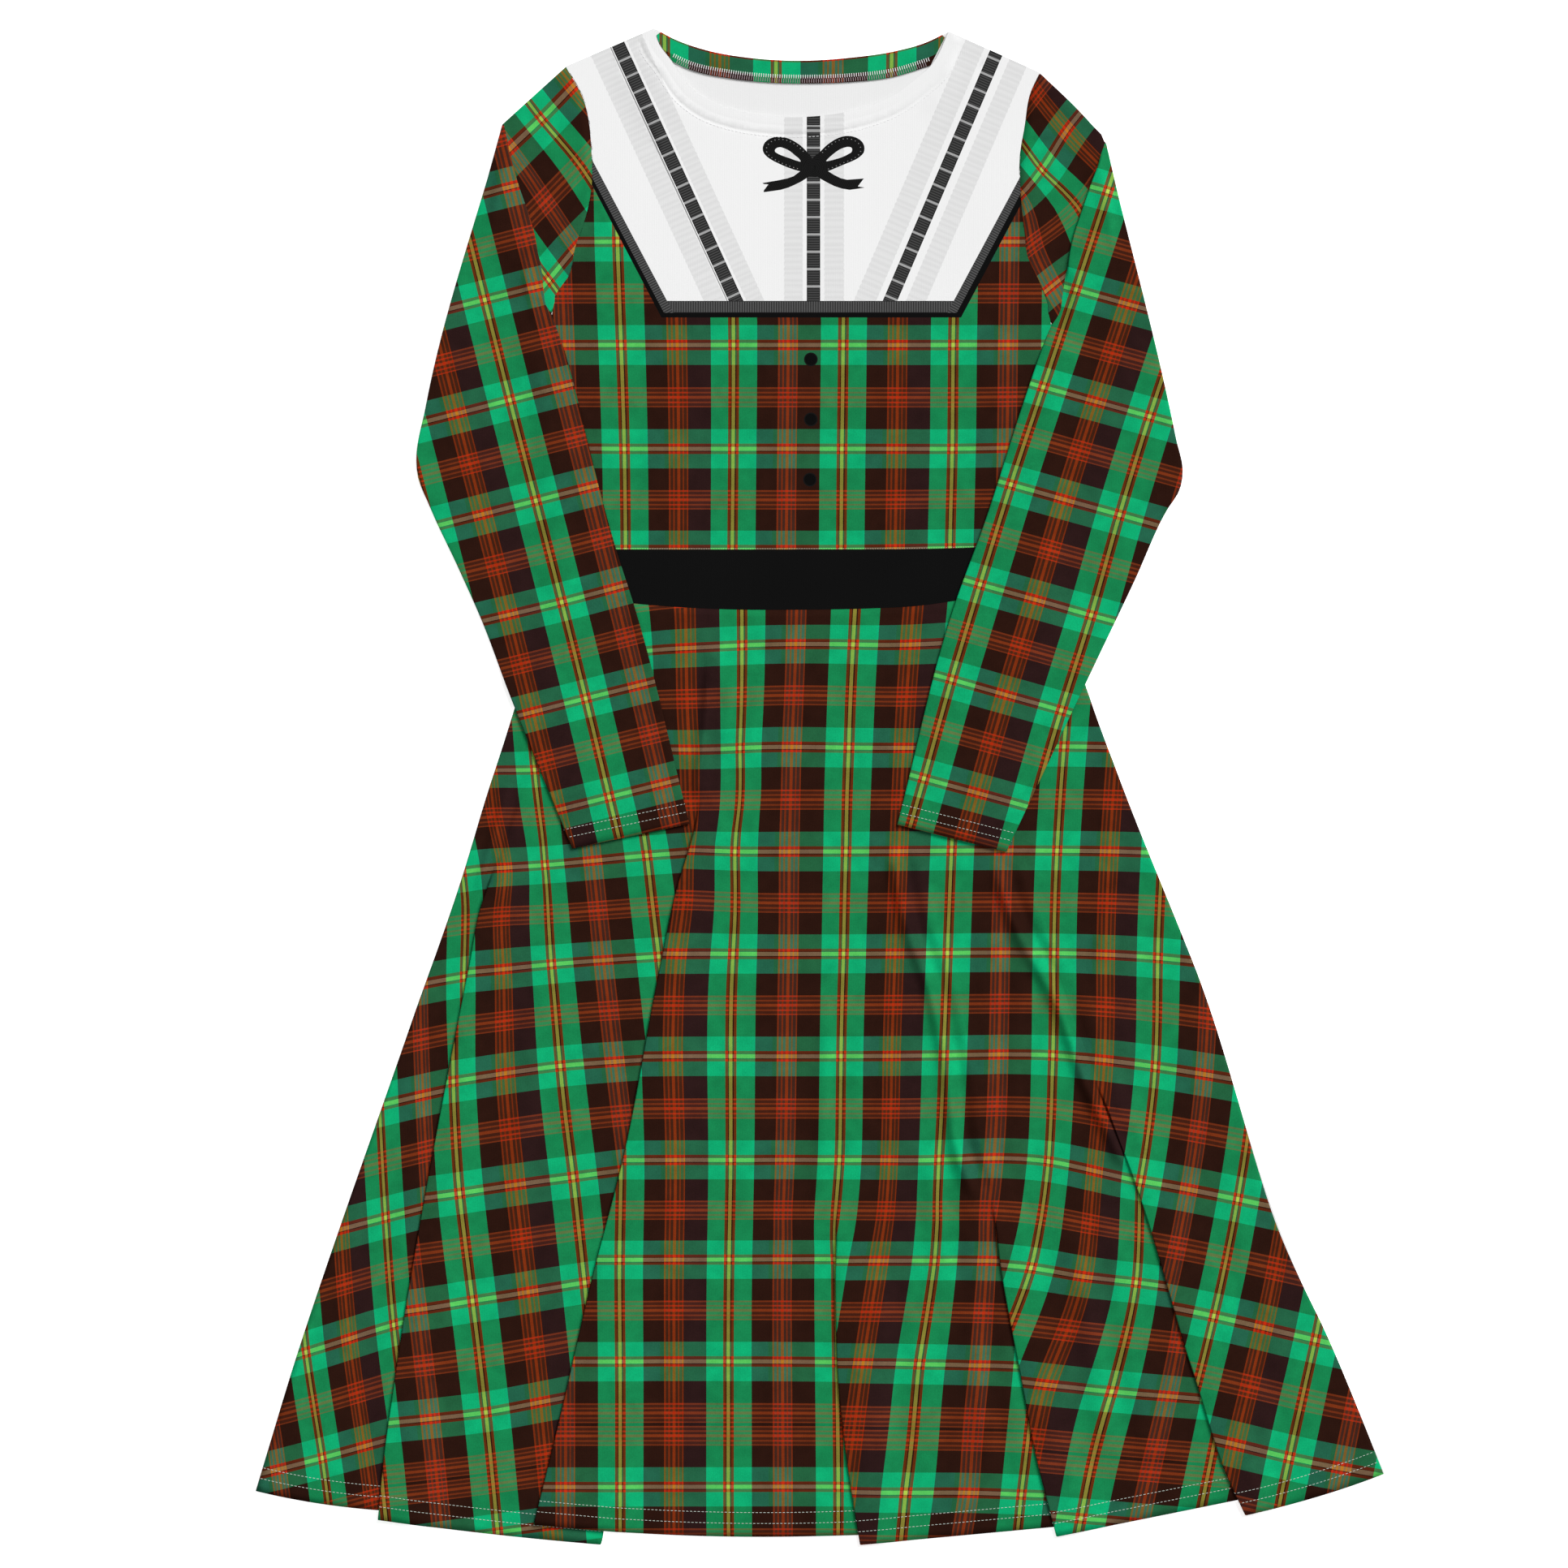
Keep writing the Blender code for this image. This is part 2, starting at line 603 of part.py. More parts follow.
def add_sleeve(sleeve, collection):
    """A sleeve: a flattened tube that is folded down at the shoulder."""
    cap_edge = Line(sleeve.cap_edge)
    fold = Line(sleeve.fold)
    outer = Line(sleeve.outer)
    inner = Line(sleeve.inner)
    seam = Line(sleeve.armhole)
    fold_ways = (outward(sleeve.side, cap_edge, 1.0) + outward(sleeve.side, outer, 0.0),
                 -outward(sleeve.side, inner, 0.0))

    def cap_place(step, share):
        """Between the armhole and the shoulder fold."""
        part = step / CAP_STEPS
        away = outward(sleeve.side, seam, clear_share(seam, share))
        start = between_rolls(seam, share) + GAP * away
        end = between_rolls(fold, share)
        straight = cap_edge.at(0.0) + part * (cap_edge.at(1.0) - cap_edge.at(0.0))
        return start + part * (end - start) + (1 - share) * (cap_edge.at(part) - straight)

    def lower_place(station, share):
        """Between the lower sleeve's two edges, inset by its rolls."""
        start = outer.at(station) - EDGE_INSET * outward(sleeve.side, outer, station)
        end = inner.at(station) + EDGE_INSET * outward(sleeve.side, inner, station)
        return start + share * (end - start)

    rings = []
    ring_normals = []

    def lay(places, unders, rises, normals, ways):
        front = [(*place, FRONT_MID + rise + body_rise(sleeve, place))
                 for place, rise in zip(places, rises)]
        back = [(*place, BACK_MID + body_rise(sleeve, place)) for place in unders]
        points, directions = ring(front, back, normals, ways)
        rings.append(points)
        ring_normals.append(directions)

    upright = [(0.0, 0.0, 1.0)] * len(ACROSS)
    flat = [0.0] * len(ACROSS)
    for step in range(CAP_STEPS):
        places = [cap_place(step, share) for share in ACROSS]
        part = step / CAP_STEPS
        ways = (swing(-seam.along(0.0), fold_ways[0], part),
                swing(seam.along(1.0), fold_ways[1], part))
        lay(places, places, flat, upright, ways)

    sections = []
    for share in ACROSS:
        inside = min(share, TUCK_ENDS - share)
        deeper = ease((inside - TUCK_FADE) / TUCK_GROWS)
        tuck = SHORTEST_TUCK + (SHOULDER_TUCK - SHORTEST_TUCK) * deeper
        sections.append(fold_profile(math.pi * ease(inside / TUCK_FADE), tuck))
    flat_ways = [entry[0] for entry in fold_profile(0.0, SHORTEST_TUCK)]
    ways = (swing(fold_ways[0], fold_ways[0], 0.0), swing(fold_ways[1], fold_ways[1], 0.0))
    for index, flat_way in enumerate(flat_ways):
        places = []
        unders = []
        rises = []
        normals = []
        for section, share in zip(sections, ACROSS):
            base = between_rolls(fold, share)
            blend = ease(min(share, TUCK_ENDS - share) / TUCK_FADE)
            edges = (base - cap_place(CAP_STEPS - 1, share),
                     lower_place(LOWER_STATIONS[0], fanned(share)) - base)
            across = outward(sleeve.side, fold, share)
            before, after = [swing(edge, across, blend)[:2] for edge in edges]
            squeeze = 1 - (1 - UNDERARM_SQUEEZE) * ease((share - TUCK_ENDS) / (1 - TUCK_ENDS))
            way, rise, lean = section[index]
            places.append(base + squeeze * way * (after if way > 0 else before))
            unders.append(base + squeeze * flat_way * (after if flat_way > 0 else before))
            rises.append(rise)
            normals.append((*(-math.sin(lean) * after), math.cos(lean)))
        lay(places, unders, rises, normals, ways)

    tops = [section[-1][1] for section in sections]
    for number, station in enumerate(LOWER_STATIONS):
        settled = ease(station / 0.24)
        gathered = across_lower(sleeve, outer.at(station), inner.at(station))
        shares = [fanned(a) + settled * (b - fanned(a)) for a, b in zip(ACROSS, gathered)]
        places = [lower_place(station, share) for share in shares]
        lift = 1 - ease(number / 2)
        ways = (np.append(outward(sleeve.side, outer, station), 0.0),
                np.append(-outward(sleeve.side, inner, station), 0.0))
        lay(places, places, [lift * top for top in tops], upright, ways)
    add_tube(sleeve.name, np.array(rings), np.array(ring_normals), TARTAN, collection)


def build():
    for piece in list(bpy.data.objects):
        bpy.data.objects.remove(piece)
    collection = bpy.data.collections.new("midi_dress")
    bpy.context.scene.collection.children.link(collection)
    bodice(collection)
    waistband("waistband_front", FRONT_MID, collection)
    waistband("waistband_back", BACK_MID, collection)
    skirt_front(collection)
    skirt_back(collection)
    for sleeve in SLEEVES:
        add_sleeve(sleeve, collection)


build()
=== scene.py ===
"""Looks of a midi dress laid flat: thin cloth over its solids.

Sizes are in millimetres up to add_cloth, which writes metres. The cloth's
layout repeats the named sizes of the part.
"""
import math
from collections import namedtuple

import bmesh
import bpy
import numpy as np
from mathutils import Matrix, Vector, noise
from mathutils.geometry import delaunay_2d_cdt


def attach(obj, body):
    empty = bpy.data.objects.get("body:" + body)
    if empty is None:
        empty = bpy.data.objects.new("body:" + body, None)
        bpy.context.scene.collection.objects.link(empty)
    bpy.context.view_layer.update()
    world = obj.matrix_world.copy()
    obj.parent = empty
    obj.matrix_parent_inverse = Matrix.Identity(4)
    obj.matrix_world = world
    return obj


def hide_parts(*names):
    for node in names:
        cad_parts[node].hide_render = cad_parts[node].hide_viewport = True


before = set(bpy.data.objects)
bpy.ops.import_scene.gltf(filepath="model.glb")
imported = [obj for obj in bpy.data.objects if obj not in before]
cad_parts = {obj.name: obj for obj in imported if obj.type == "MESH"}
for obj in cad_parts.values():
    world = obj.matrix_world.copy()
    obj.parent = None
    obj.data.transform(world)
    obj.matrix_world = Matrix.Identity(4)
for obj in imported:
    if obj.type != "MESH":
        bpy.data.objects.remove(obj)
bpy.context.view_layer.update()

MM = 0.001
# Measured places are given in steps of the layout drawing
STEP = 0.63
MIDDLE = (1010.5, 969.0)
DRAWING_SIDE = 1932

# Layout of the layers, as in the part
CLOTH = 1.1
GAP = 0.3
LAYER = CLOTH + GAP
ROLL = LAYER / 2
EDGE_INSET = ROLL + CLOTH / 2
BACK_MID = CLOTH / 2
FRONT_MID = BACK_MID + LAYER
BODY_HEIGHT = 2 * LAYER
THIN = 0.7
# How deep the stitches' feet are sunk into the cloth
SUNK = 0.1
SHORTEST_TUCK = 0.8
SLIGHTEST_TURN = 0.02
SETTLE_START = 6.0
SETTLE_RUN = 24.0
RISE_START = 36.0
RISE_END = 16.0
ROLL_FACETS = 6

# Outlines of the laid pieces, in millimetres
FRONT_NECK = (
    (-128.8, 588.4), (-125.7, 577.7), (-115, 562.6), (-101.7, 543.1), (-85.4, 531.1),
    (-69.6, 525.4), (-45, 520.7), (-6, 519.9), (35.6, 527.3), (55.1, 535.2), (74, 548.7),
    (86.6, 560.1), (99.9, 585.9),
)
BACK_NECK = (
    (-128.8, 588.4), (-113.7, 580.2), (-88.5, 571.4), (-57, 565.7), (-16, 563.2), (24.9, 565.7),
    (56.4, 570.2), (81.6, 577.1), (99.9, 585.9),
)
LEFT_ARMHOLE = (
    (-197.5, 558.8), (-183.6, 533), (-177.3, 490.1), (-177.3, 466.2), (-180.5, 447.3),
    (-190, 418.3), (-195.6, 396.3), (-203.2, 386), (-206.9, 379), (-206.6, 374),
)
RIGHT_ARMHOLE = (
    (171, 553.8), (163.5, 537.4), (159.1, 510.9), (155.9, 493.3), (155.9, 456.1), (158.4, 430.9),
    (161.6, 409.5), (167.3, 397.5), (173.8, 383.5), (177.2, 374.5), (177.4, 366.5),
)
LEFT_SIDE = (
    (-206.6, 374), (-208.5, 362), (-205.5, 345), (-201, 328), (-197, 305), (-192, 270),
    (-188, 184), (-189, 141), (-203, 112), (-238, 57), (-243.2, 41), (-248.3, 25), (-258.6, -6.9),
    (-278.8, -73.1), (-321.6, -195.9), (-411.9, -460.5), (-438.2, -546.8),
)
RIGHT_SIDE = (
    (177.4, 366.5), (179.5, 356), (177.5, 344), (173, 328), (166.5, 295), (162, 260), (158, 184),
    (159, 141), (178, 112), (206, 78), (211, 64), (216.3, 49), (236.6, -5), (295.8, -155),
    (365.1, -364.8), (407.9, -460.5), (438.2, -533),
)
WAIST_SEAM = ((-188, 184), (-16, 184), (90, 184.6), (158, 187))
SKIRT_SEAM = (
    (-189, 147), (-132.6, 140.9), (-73, 137.5), (-16, 137.2), (41.3, 138.3), (72.6, 139.9),
    (105, 144), (159, 152),
)
NECK_TURNING_EDGE = (
    (-114.4, 562.4), (-101.1, 556.3), (-69.6, 549.4), (-38.1, 546.2), (-6.6, 545.6), (24.9, 546.8),
    (56.4, 550.6), (85.6, 559.4),
)

Fold = namedtuple("Fold", "name edge begins turned tuck hem_under hem_over")
FOLDS = (
    Fold("far_left", (
        (-172, 141), (-253, -64), (-262.5, -92), (-273, -144), (-330.4, -465), (-338, -520),
        (-343, -569),
    ), -50, -110, 21, -563, -569.2),
    Fold("left", (
        (-95, 141), (-91, 6), (-94.8, -19.5), (-101.1, -45.4), (-111.4, -81), (-125, -145.5),
        (-152.8, -289), (-176.7, -381.8), (-200.7, -485.7), (-222, -573),
    ), 2, -72, 53, -588.4, -572.7),
    Fold("middle", (
        (-22, 141), (12.3, -321), (12.3, -397.5), (14.2, -460), (22.4, -533), (31.2, -588),
    ), -322, -384, 16, -579.8, -588.4),
    Fold("right", (
        (45, 141), (133, -322), (142.7, -387.5), (157.2, -464.3), (165.6, -510), (183.3, -581),
    ), -312, -374, 18, -573, -581.9),
    Fold("far_right", (
        (105, 141), (208.2, -215.8), (224.6, -255.5), (240.3, -296), (291.5, -460.5),
        (317.4, -538), (329, -565),
    ), -214, -288, 12, -551, -565.4),
)
HEM_LEFT = -546.8
HEM_RIGHT = -533.6
PANEL_DIPS = (2.8, 1.3, 5.5, 0.0, 0.0, 1.9)
PANEL_COLUMNS = (20, 40, 80, 44, 46, 30)
SKIRT_TOP = 141.0
SKIRT_BOTTOM = -580.0
SKIRT_ROWS = 130
# How far below the waistband's edge the skirt's cloth begins
SEAM_CLEAR = 0.1
# The whole dress from shoulder to hem, and how far the back's hem lies inside
DRESS_LENGTH = 1177.0
BACK_HEM_INSET = 6.0
# How far a fold's hidden layers end above its upper layer's hem
HIDDEN_HEM = 0.8
# How far to either side of an unfolded fold its two prints mix
OPEN_MIX = 75.0
SKIRT_HEM_STITCHES = (10.4, 18.9)
# A hem's needle stitches: their spacing, length and width
NEEDLE = (3.0, 2.0, 0.42)

Sleeve = namedtuple("Sleeve", "name side armhole cap_edge fold outer inner clear settled")
SLEEVES = (
    Sleeve("sleeve_left", -1, LEFT_ARMHOLE, (
        (-197.5, 558.8), (-246, 514.5),
    ), (
        (-246, 514.5), (-235.3, 470), (-223.3, 434), (-217, 404), (-214.8, 385), (-213.2, 374),
        (-209, 365.6),
    ), (
        (-246, 514.5), (-306.2, 295.5), (-313.6, 252), (-312.9, 243), (-303, 216.7),
        (-281.3, 170.1), (-262.1, 126.8), (-242.8, 75.4), (-192.5, -48.5),
    ), (
        (-207.1, 367.5), (-191.9, 315.9), (-181, 270.9), (-158.1, 184.1), (-144.8, 142.6),
        (-101.1, -29),
    ), 364, 335),
    Sleeve("sleeve_right", 1, RIGHT_ARMHOLE, (
        (171, 553.8), (203.2, 522.3), (212, 512.6), (218.9, 505.3), (221.5, 499.6),
    ), (
        (221.5, 499.6), (207.6, 459.3), (195.6, 422.1), (191, 398), (188.2, 379), (186, 367.5),
        (179.9, 357.8),
    ), (
        (221.5, 499.6), (276.4, 270.3), (281.7, 243), (279.6, 231), (269.1, 213.9), (244.6, 160.3),
        (205.7, 78.8), (144.6, -51),
    ), ((178.4, 359.6), (156.6, 295.5), (126, 201), (105, 144), (59.5, -29.6)), 358, 336),
)
SHOULDER_TUCK = 9.0
CAP_STEPS = 9
ACROSS = (
    0, 0.02, 0.05, 0.075, 0.1, 0.13, 0.16, 0.2, 0.24, 0.29, 0.34, 0.4, 0.46, 0.51, 0.56, 0.6, 0.63,
    0.66, 0.69, 0.72, 0.75, 0.78, 0.81, 0.85, 0.88, 0.91, 0.94, 0.97, 1,
)
TUCK_FADE = 0.24
TUCK_ENDS = 0.81
TUCK_GROWS = 0.16
UNDERARM_SQUEEZE = 0.35
FAN_OUT = 1.5
LOWER_STATIONS = 84
# Shares of a sleeve's length where the fold ends, where its lower part lies
# unfanned and over how much the shoulder's layers sink
FOLD_STATION = 0.075
UNFANNED_STATION = 0.24
LAYERS_SINK = 0.085
CAP_LAP = 0.6
CUFF_STITCHES = (9.5, 16.0)

# The printed tartan: each stripe's thread and its width in drawing steps, once
# across and once down the repeat
ACROSS_GROUP = (
    ("line", 2), ("between", 3.2), ("line", 2), ("between", 3), ("thick", 3.8), ("between", 3),
    ("line", 2), ("between", 3.2), ("line", 2),
)
DOWN_GROUP = (
    ("line", 1.9), ("between", 3.4), ("line", 1.9), ("between", 3.3), ("thick", 3.4),
    ("between", 3.3), ("line", 1.9), ("between", 3.4), ("line", 1.9),
)
ACROSS_SETT = (
    ("green", 21), ("red", 3), ("dark", 0.8), ("yellow", 4.4), ("dark", 1.6), ("red", 3.2),
    ("green", 21.8), ("dark", 26), *ACROSS_GROUP, ("dark", 28.4),
)
DOWN_SETT = (
    ("green", 17.5), ("red", 3.3), ("dark", 0.8), ("yellow", 4.8), ("dark", 1.1), ("red", 2.8),
    ("green", 18), ("dark", 27), *DOWN_GROUP, ("dark", 26.7),
)
YELLOW_IN_ACROSS = 27.0
YELLOW_IN_DOWN = 24.0
# The print's repeat is cut short once, low on the skirt
SHORT_AT = 7.61
SHORT_BY = 0.222

# What a thread adds, how far it hides the one that it crosses, and what it
# gives where both threads glow
Thread = namedtuple("Thread", "dye hides glow")
ACROSS_THREADS = {
    "green": Thread((0.002, 0.205, 0.068), 0.4, (0, 0.33, 0.25)),
    "yellow": Thread((0.195, 0.18, 0.026), 0.3, (0.2, 0.40, 0)),
    "red": Thread((0.112, 0.021, 0.003), 0.5, (0.5, 0, 0)),
    "dark": Thread((0.0125, 0.0035, 0.0022), 0, (0, 0, 0)),
    "line": Thread((0.155, 0.021, 0.004), 0.8, (0.5, 0.16, 0)),
    "thick": Thread((0.19, 0.025, 0.004), 0.8, (0.5, 0.16, 0)),
    "between": Thread((0.040, 0.010, 0.004), 0.1, (0.25, 0.05, 0)),
}
DOWN_THREADS = {
    "green": Thread((0.003, 0.105, 0.041), 0, (0, 0.32, 0.22)),
    "yellow": Thread((0.145, 0.09, 0.050), 0, (0.45, 0.75, 0)),
    "red": Thread((0.085, 0.013, 0.003), 0.2, (0.7, 0, 0)),
    "dark": Thread((0.009, 0.003, 0.0015), 0, (0, 0, 0)),
    "line": Thread((0.135, 0.022, 0.005), 0.3, (0.5, 0, 0)),
    "thick": Thread((0.165, 0.026, 0.005), 0.3, (0.5, 0, 0)),
    "between": Thread((0.038, 0.008, 0.003), 0, (0, 0, 0)),
}

# Where lines of the print cross: x and y in drawing steps, then the numbers of
# the line across and the line down. Yellow lines have whole numbers.
HIGH_SKIRT = (
    (776, 803, 0, 0), (914, 795, 1, 0), (1048, 794, 2, 0), (1182, 800, 3, 0), (776, 925, 0, 1),
    (857, 925, 0.5, 1), (911, 921, 1, 1), (1045, 921, 2, 1), (1177, 921, 3, 1), (1308, 921, 4, 1),
)
MIDDLE_SKIRT = (
    (905, 1049, 1, 2), (1042, 1049, 2, 2), (1172, 1048, 3, 2), (1302, 1048, 4, 2),
    (1432, 1051, 5, 2),
)
RIGHT_SKIRT = (
    (1167, 1174, 3, 3), (1298, 1174, 4, 3), (1426, 1180, 5, 3), (1162, 1300, 3, 4),
    (1297, 1300, 4, 4), (1423, 1314, 5, 4),
)
CENTRE_SKIRT = ((1039, 1175, 2, 3), (1036, 1301, 2, 4))
LATTICES = {
    "bodice": (
        (760.5, 298, 0, -1), (902, 298, 1, -1), (1039, 298, 2, -1), (1176, 298, 3, -1),
        (765, 425, 0, 0), (903.5, 425, 1, 0), (1038.5, 425, 2, 0), (1174, 425, 3, 0),
        (769, 553, 0, 1), (903, 553, 1, 1), (1037, 553, 2, 1), (1173, 553, 3, 1),
        (770.5, 677.4, 0, 2), (902, 677.4, 1, 2), (1036, 677.4, 2, 2), (1170, 675.4, 3, 2),
    ),
    "skirt_0": (
        (571, 1075, -2, 2), (571.5, 1203, -2, 3), (475, 1500, -3, 5), (658.5, 948.5, -1, 1),
        (670.8, 1065.8, -1, 2), (609.4, 1005.6, -1.5, 1.5), (623, 1069, -1.5, 2),
        (485, 1632, -3, 6), (377, 1666, -4, 6), (397, 1796, -4, 7),
    ),
    "skirt_1": (
        (658.5, 948.5, -1, 1), (670.8, 1065.8, -1, 2), (796.8, 1054, 0, 2), (679, 1188, -1, 3),
        (811.5, 1178.5, 0, 3), (690, 1313, -1, 4), (566, 1470, -2, 5), (706, 1450, -1, 5),
        (582, 1602.5, -2, 6), (720, 1580, -1, 6), (598.5, 1740, -2, 7), (613, 1887.5, -2, 8.222),
        (776, 803, 0, 0), (780, 925, 0, 1), (914, 795, 1, 0), (912, 923, 1, 1),
        (609.4, 1005.6, -1.5, 1.5), (623, 1069, -1.5, 2), (618, 1128, -1.5, 2.5),
        (620.6, 1194, -1.5, 3), (623, 1322, -1.5, 4),
    ),
    "skirt_2": (
        *HIGH_SKIRT, *MIDDLE_SKIRT, *CENTRE_SKIRT, *RIGHT_SKIRT, (843, 1108, 0.5, 2.5),
        (834, 1175, 0.5, 3), (829, 1301, 0.5, 4), (903, 1175, 1, 3), (900, 1301, 1, 4),
        (765, 1429, 0, 5), (900, 1429, 1, 5), (1034, 1429, 2, 5), (763, 1551.5, 0, 6),
        (898, 1551.5, 1, 6), (1030, 1551, 2, 6), (764, 1677, 0, 7), (897, 1677, 1, 7),
        (1031, 1678, 2, 7), (764, 1831.5, 0, 8.222), (897, 1831.5, 1, 8.222),
        (1032.5, 1831.5, 2, 8.222),
    ),
    "skirt_3": (
        *HIGH_SKIRT, *MIDDLE_SKIRT, *CENTRE_SKIRT, *RIGHT_SKIRT, (1034, 1429, 2, 5),
        (1157, 1429.8, 3, 5), (1291.5, 1430.5, 4, 5), (1082.8, 1553, 2.5, 6), (1151.2, 1553, 3, 6),
        (1216, 1553, 3.5, 6), (1063.4, 1679, 2.5, 7), (1131.8, 1680.4, 3, 7),
        (1207.4, 1682, 3.5, 7), (1115.2, 1838.8, 3, 8.222), (1194.4, 1838.8, 3.5, 8.222),
        (1257.8, 1841, 4, 8.222),
    ),
    "skirt_4": (
        *MIDDLE_SKIRT, *RIGHT_SKIRT, (1291.5, 1430.5, 4, 5), (1404.5, 1455, 5, 5),
        (1270, 1561.6, 4, 6), (1334.8, 1572.4, 4.5, 6), (1399.6, 1579.6, 5, 6),
        (1288, 1705.6, 4.5, 7), (1369.4, 1714.2, 5, 7), (1439, 1720, 5.5, 7),
        (1331.2, 1870, 5, 8.222),
    ),
    "skirt_5": (
        *MIDDLE_SKIRT, *RIGHT_SKIRT, (1404.8, 1454.5, 5, 5), (1524.5, 1477.3, 6, 5),
        (1495, 1621, 6, 6), (1620, 1650.5, 7, 6), (1588, 1795.6, 7, 7), (1522, 1779, 6.5, 7),
    ),
    "sleeve_left": (
        (628, 493, 1, 0), (660, 617, 1, 1), (692, 742, 1, 2), (721.5, 860.5, 1, 3),
        (750.5, 982, 1, 4), (759, 460, 2, 0), (879, 950, 2, 4),
    ),
    "sleeve_right": (
        (1364.5, 236, 0, 0), (1325, 357, 0, 1), (1285, 477, 0, 2), (1245, 597, 0, 3),
        (1207, 720, 0, 4), (1172, 837, 0, 5), (1138, 959, 0, 6), (1416, 513, 1, 2),
        (1379, 634, 1, 3), (1344, 758, 1, 4), (1307, 875, 1, 5),
    ),
    "cap_left": (
        (666.5, 147, 0, 0), (714.8, 204, 0, 0.5), (706, 106, 0.5, 0), (628, 183, -0.5, 0),
        (672, 248, -0.5, 0.5), (710, 304, -0.5, 1), (676, 345, -1, 1),
    ),
    "cap_right": (
        (1282.5, 210.5, 0, 0), (1313.8, 160.3, 0.5, 0), (1275.5, 113.8, 0.5, -0.5),
        (1271.4, 301, -0.5, 0.5), (1329, 256, 0, 0.5), (1296, 352.5, -0.5, 1),
        (1257, 241, -0.5, 0),
    ),
    "neck": (
        (818.6, 62, 0, 0), (955.9, 62, 1, 0), (1098.4, 62, 2, 0), (818.6, 188, 0, 1),
        (955.9, 188, 1, 1),
    ),
}

# Soft creases in the laid cloth: places along each in drawing steps, then in
# millimetres the width and the height of the swells that run beside it, and
# the second swell's share of that height
Crease = namedtuple("Crease", "places width height second")
CREASES = (
    ((
        (1112, 1040), (1117, 1066), (1130, 1133), (1157, 1207), (1181, 1317), (1194, 1415),
        (1221, 1480),
    ), 6, 5, 0.35),
    ((
        (1240, 1060), (1261, 1127), (1313, 1225), (1356, 1341), (1392, 1415), (1404, 1440),
    ), 6, 5.4, 0.35),
    (((896, 792), (886, 850), (877, 930), (868, 990)), 5, 3.8, 0.4),
    (((922, 800), (915, 860), (905, 940)), 8, 2.4, 0.4),
    (((638, 972), (618, 1040), (596, 1110)), 4.5, 3, 0.4),
    (((1240, 1130), (1234, 1290), (1226, 1450)), 8, 2.4, 0.6),
    (((1040, 1230), (1035, 1370), (1028, 1490)), 8, 2.8, 0.5),
    (((1382, 1120), (1368, 1230), (1360, 1300)), 8, 2.2, 0.5),
    (((1160, 1400), (1175, 1500), (1184, 1620)), 9, 2.4, 0.6),
    (((700, 1150), (672, 1400), (650, 1640)), 11, 1.4, 0.4),
    (((830, 1180), (812, 1450), (800, 1760)), 13, 1.2, 0.5),
    (((960, 1300), (946, 1560), (930, 1830)), 13, 1.2, 0.4),
    (((1100, 1540), (1108, 1700), (1112, 1830)), 11, 2.4, 0.5),
    (((1215, 1600), (1228, 1720), (1240, 1830)), 9, 2, 0.6),
    (((1340, 1480), (1366, 1640), (1392, 1820)), 10, 2.2, 0.5),
    (((1490, 1480), (1542, 1640), (1596, 1800)), 11, 1.6, 0.5),
    (((424, 1400), (398, 1600), (376, 1790)), 9, 1.4, 0.5),
    (((540, 1350), (516, 1600), (496, 1820)), 9, 1.4, 0.5),
    (((735, 436), (772, 456), (806, 470)), 8, 0.7, 0.4),
    (((1236, 436), (1205, 462), (1176, 480)), 8, 0.7, 0.4),
    (((860, 640), (920, 622), (985, 604)), 10, 0.5, 0.5),
    (((1080, 604), (1130, 624), (1180, 640)), 10, 0.5, 0.5),
    (((770, 60), (800, 120), (836, 170)), 7, 0.6, 0.6),
    (((1196, 66), (1176, 118), (1150, 160)), 7, 0.8, 0.6),
)
# How far apart the places along a crease are, in millimetres
CREASE_STEP = 4.0


def drawn(x, y):
    """Millimetres of a place in drawing steps."""
    return np.array(((x - MIDDLE[0]) * STEP, (MIDDLE[1] - y) * STEP))


def ease(amount):
    amount = min(max(amount, 0.0), 1.0)
    return amount * amount * (3 - 2 * amount)


def glide(places, values, place):
    """Value at a place on a smooth curve through places, which rise."""
    last = len(places) - 1
    index = min(max(int(np.searchsorted(places, place)) - 1, 0), last - 1)
    steps = [places[i + 1] - places[i] for i in range(last)]
    slopes = [(values[i + 1] - values[i]) / steps[i] for i in range(last)]

    def slope_at(i):
        if i in (0, last):
            return slopes[0] if i == 0 else slopes[-1]
        return (slopes[i - 1] * steps[i] + slopes[i] * steps[i - 1]) / (steps[i - 1] + steps[i])

    run = steps[index]
    part = (place - places[index]) / run
    rise = values[index + 1] - values[index]
    bend = part * part * (3 - 2 * part)
    return (values[index] + rise * bend + run * slope_at(index) * part * (1 - part) ** 2
            + run * slope_at(index + 1) * part * part * (part - 1))


class Line:
    """A smooth line through points, read by share of its length."""

    def __init__(self, points):
        self.points = np.array([(p[0], p[1]) for p in points], dtype=float)
        runs = np.hypot(*np.diff(self.points, axis=0).T)
        self.reach = np.concatenate(([0.0], np.cumsum(runs)))
        self.length = self.reach[-1]

    def at(self, share):
        place = share * self.length
        return np.array([glide(self.reach, self.points[:, axis], place) for axis in (0, 1)])

    def along(self, share):
        step = 0.002
        way = self.at(min(share + step, 1.0)) - self.at(max(share - step, 0.0))
        return way / np.hypot(*way)

    def spread(self, count):
        return [self.at(i / (count - 1)) for i in range(count)]


def across_at(points, height):
    falling = sorted(points, key=lambda point: point[1])
    return glide([p[1] for p in falling], [p[0] for p in falling], height)


def height_at(points, x):
    return glide([p[0] for p in points], [p[1] for p in points], x)


# What a map of the print counts in, and how far it may miss its crosses
DECIMETRE = 100.0
SLACK = 0.01


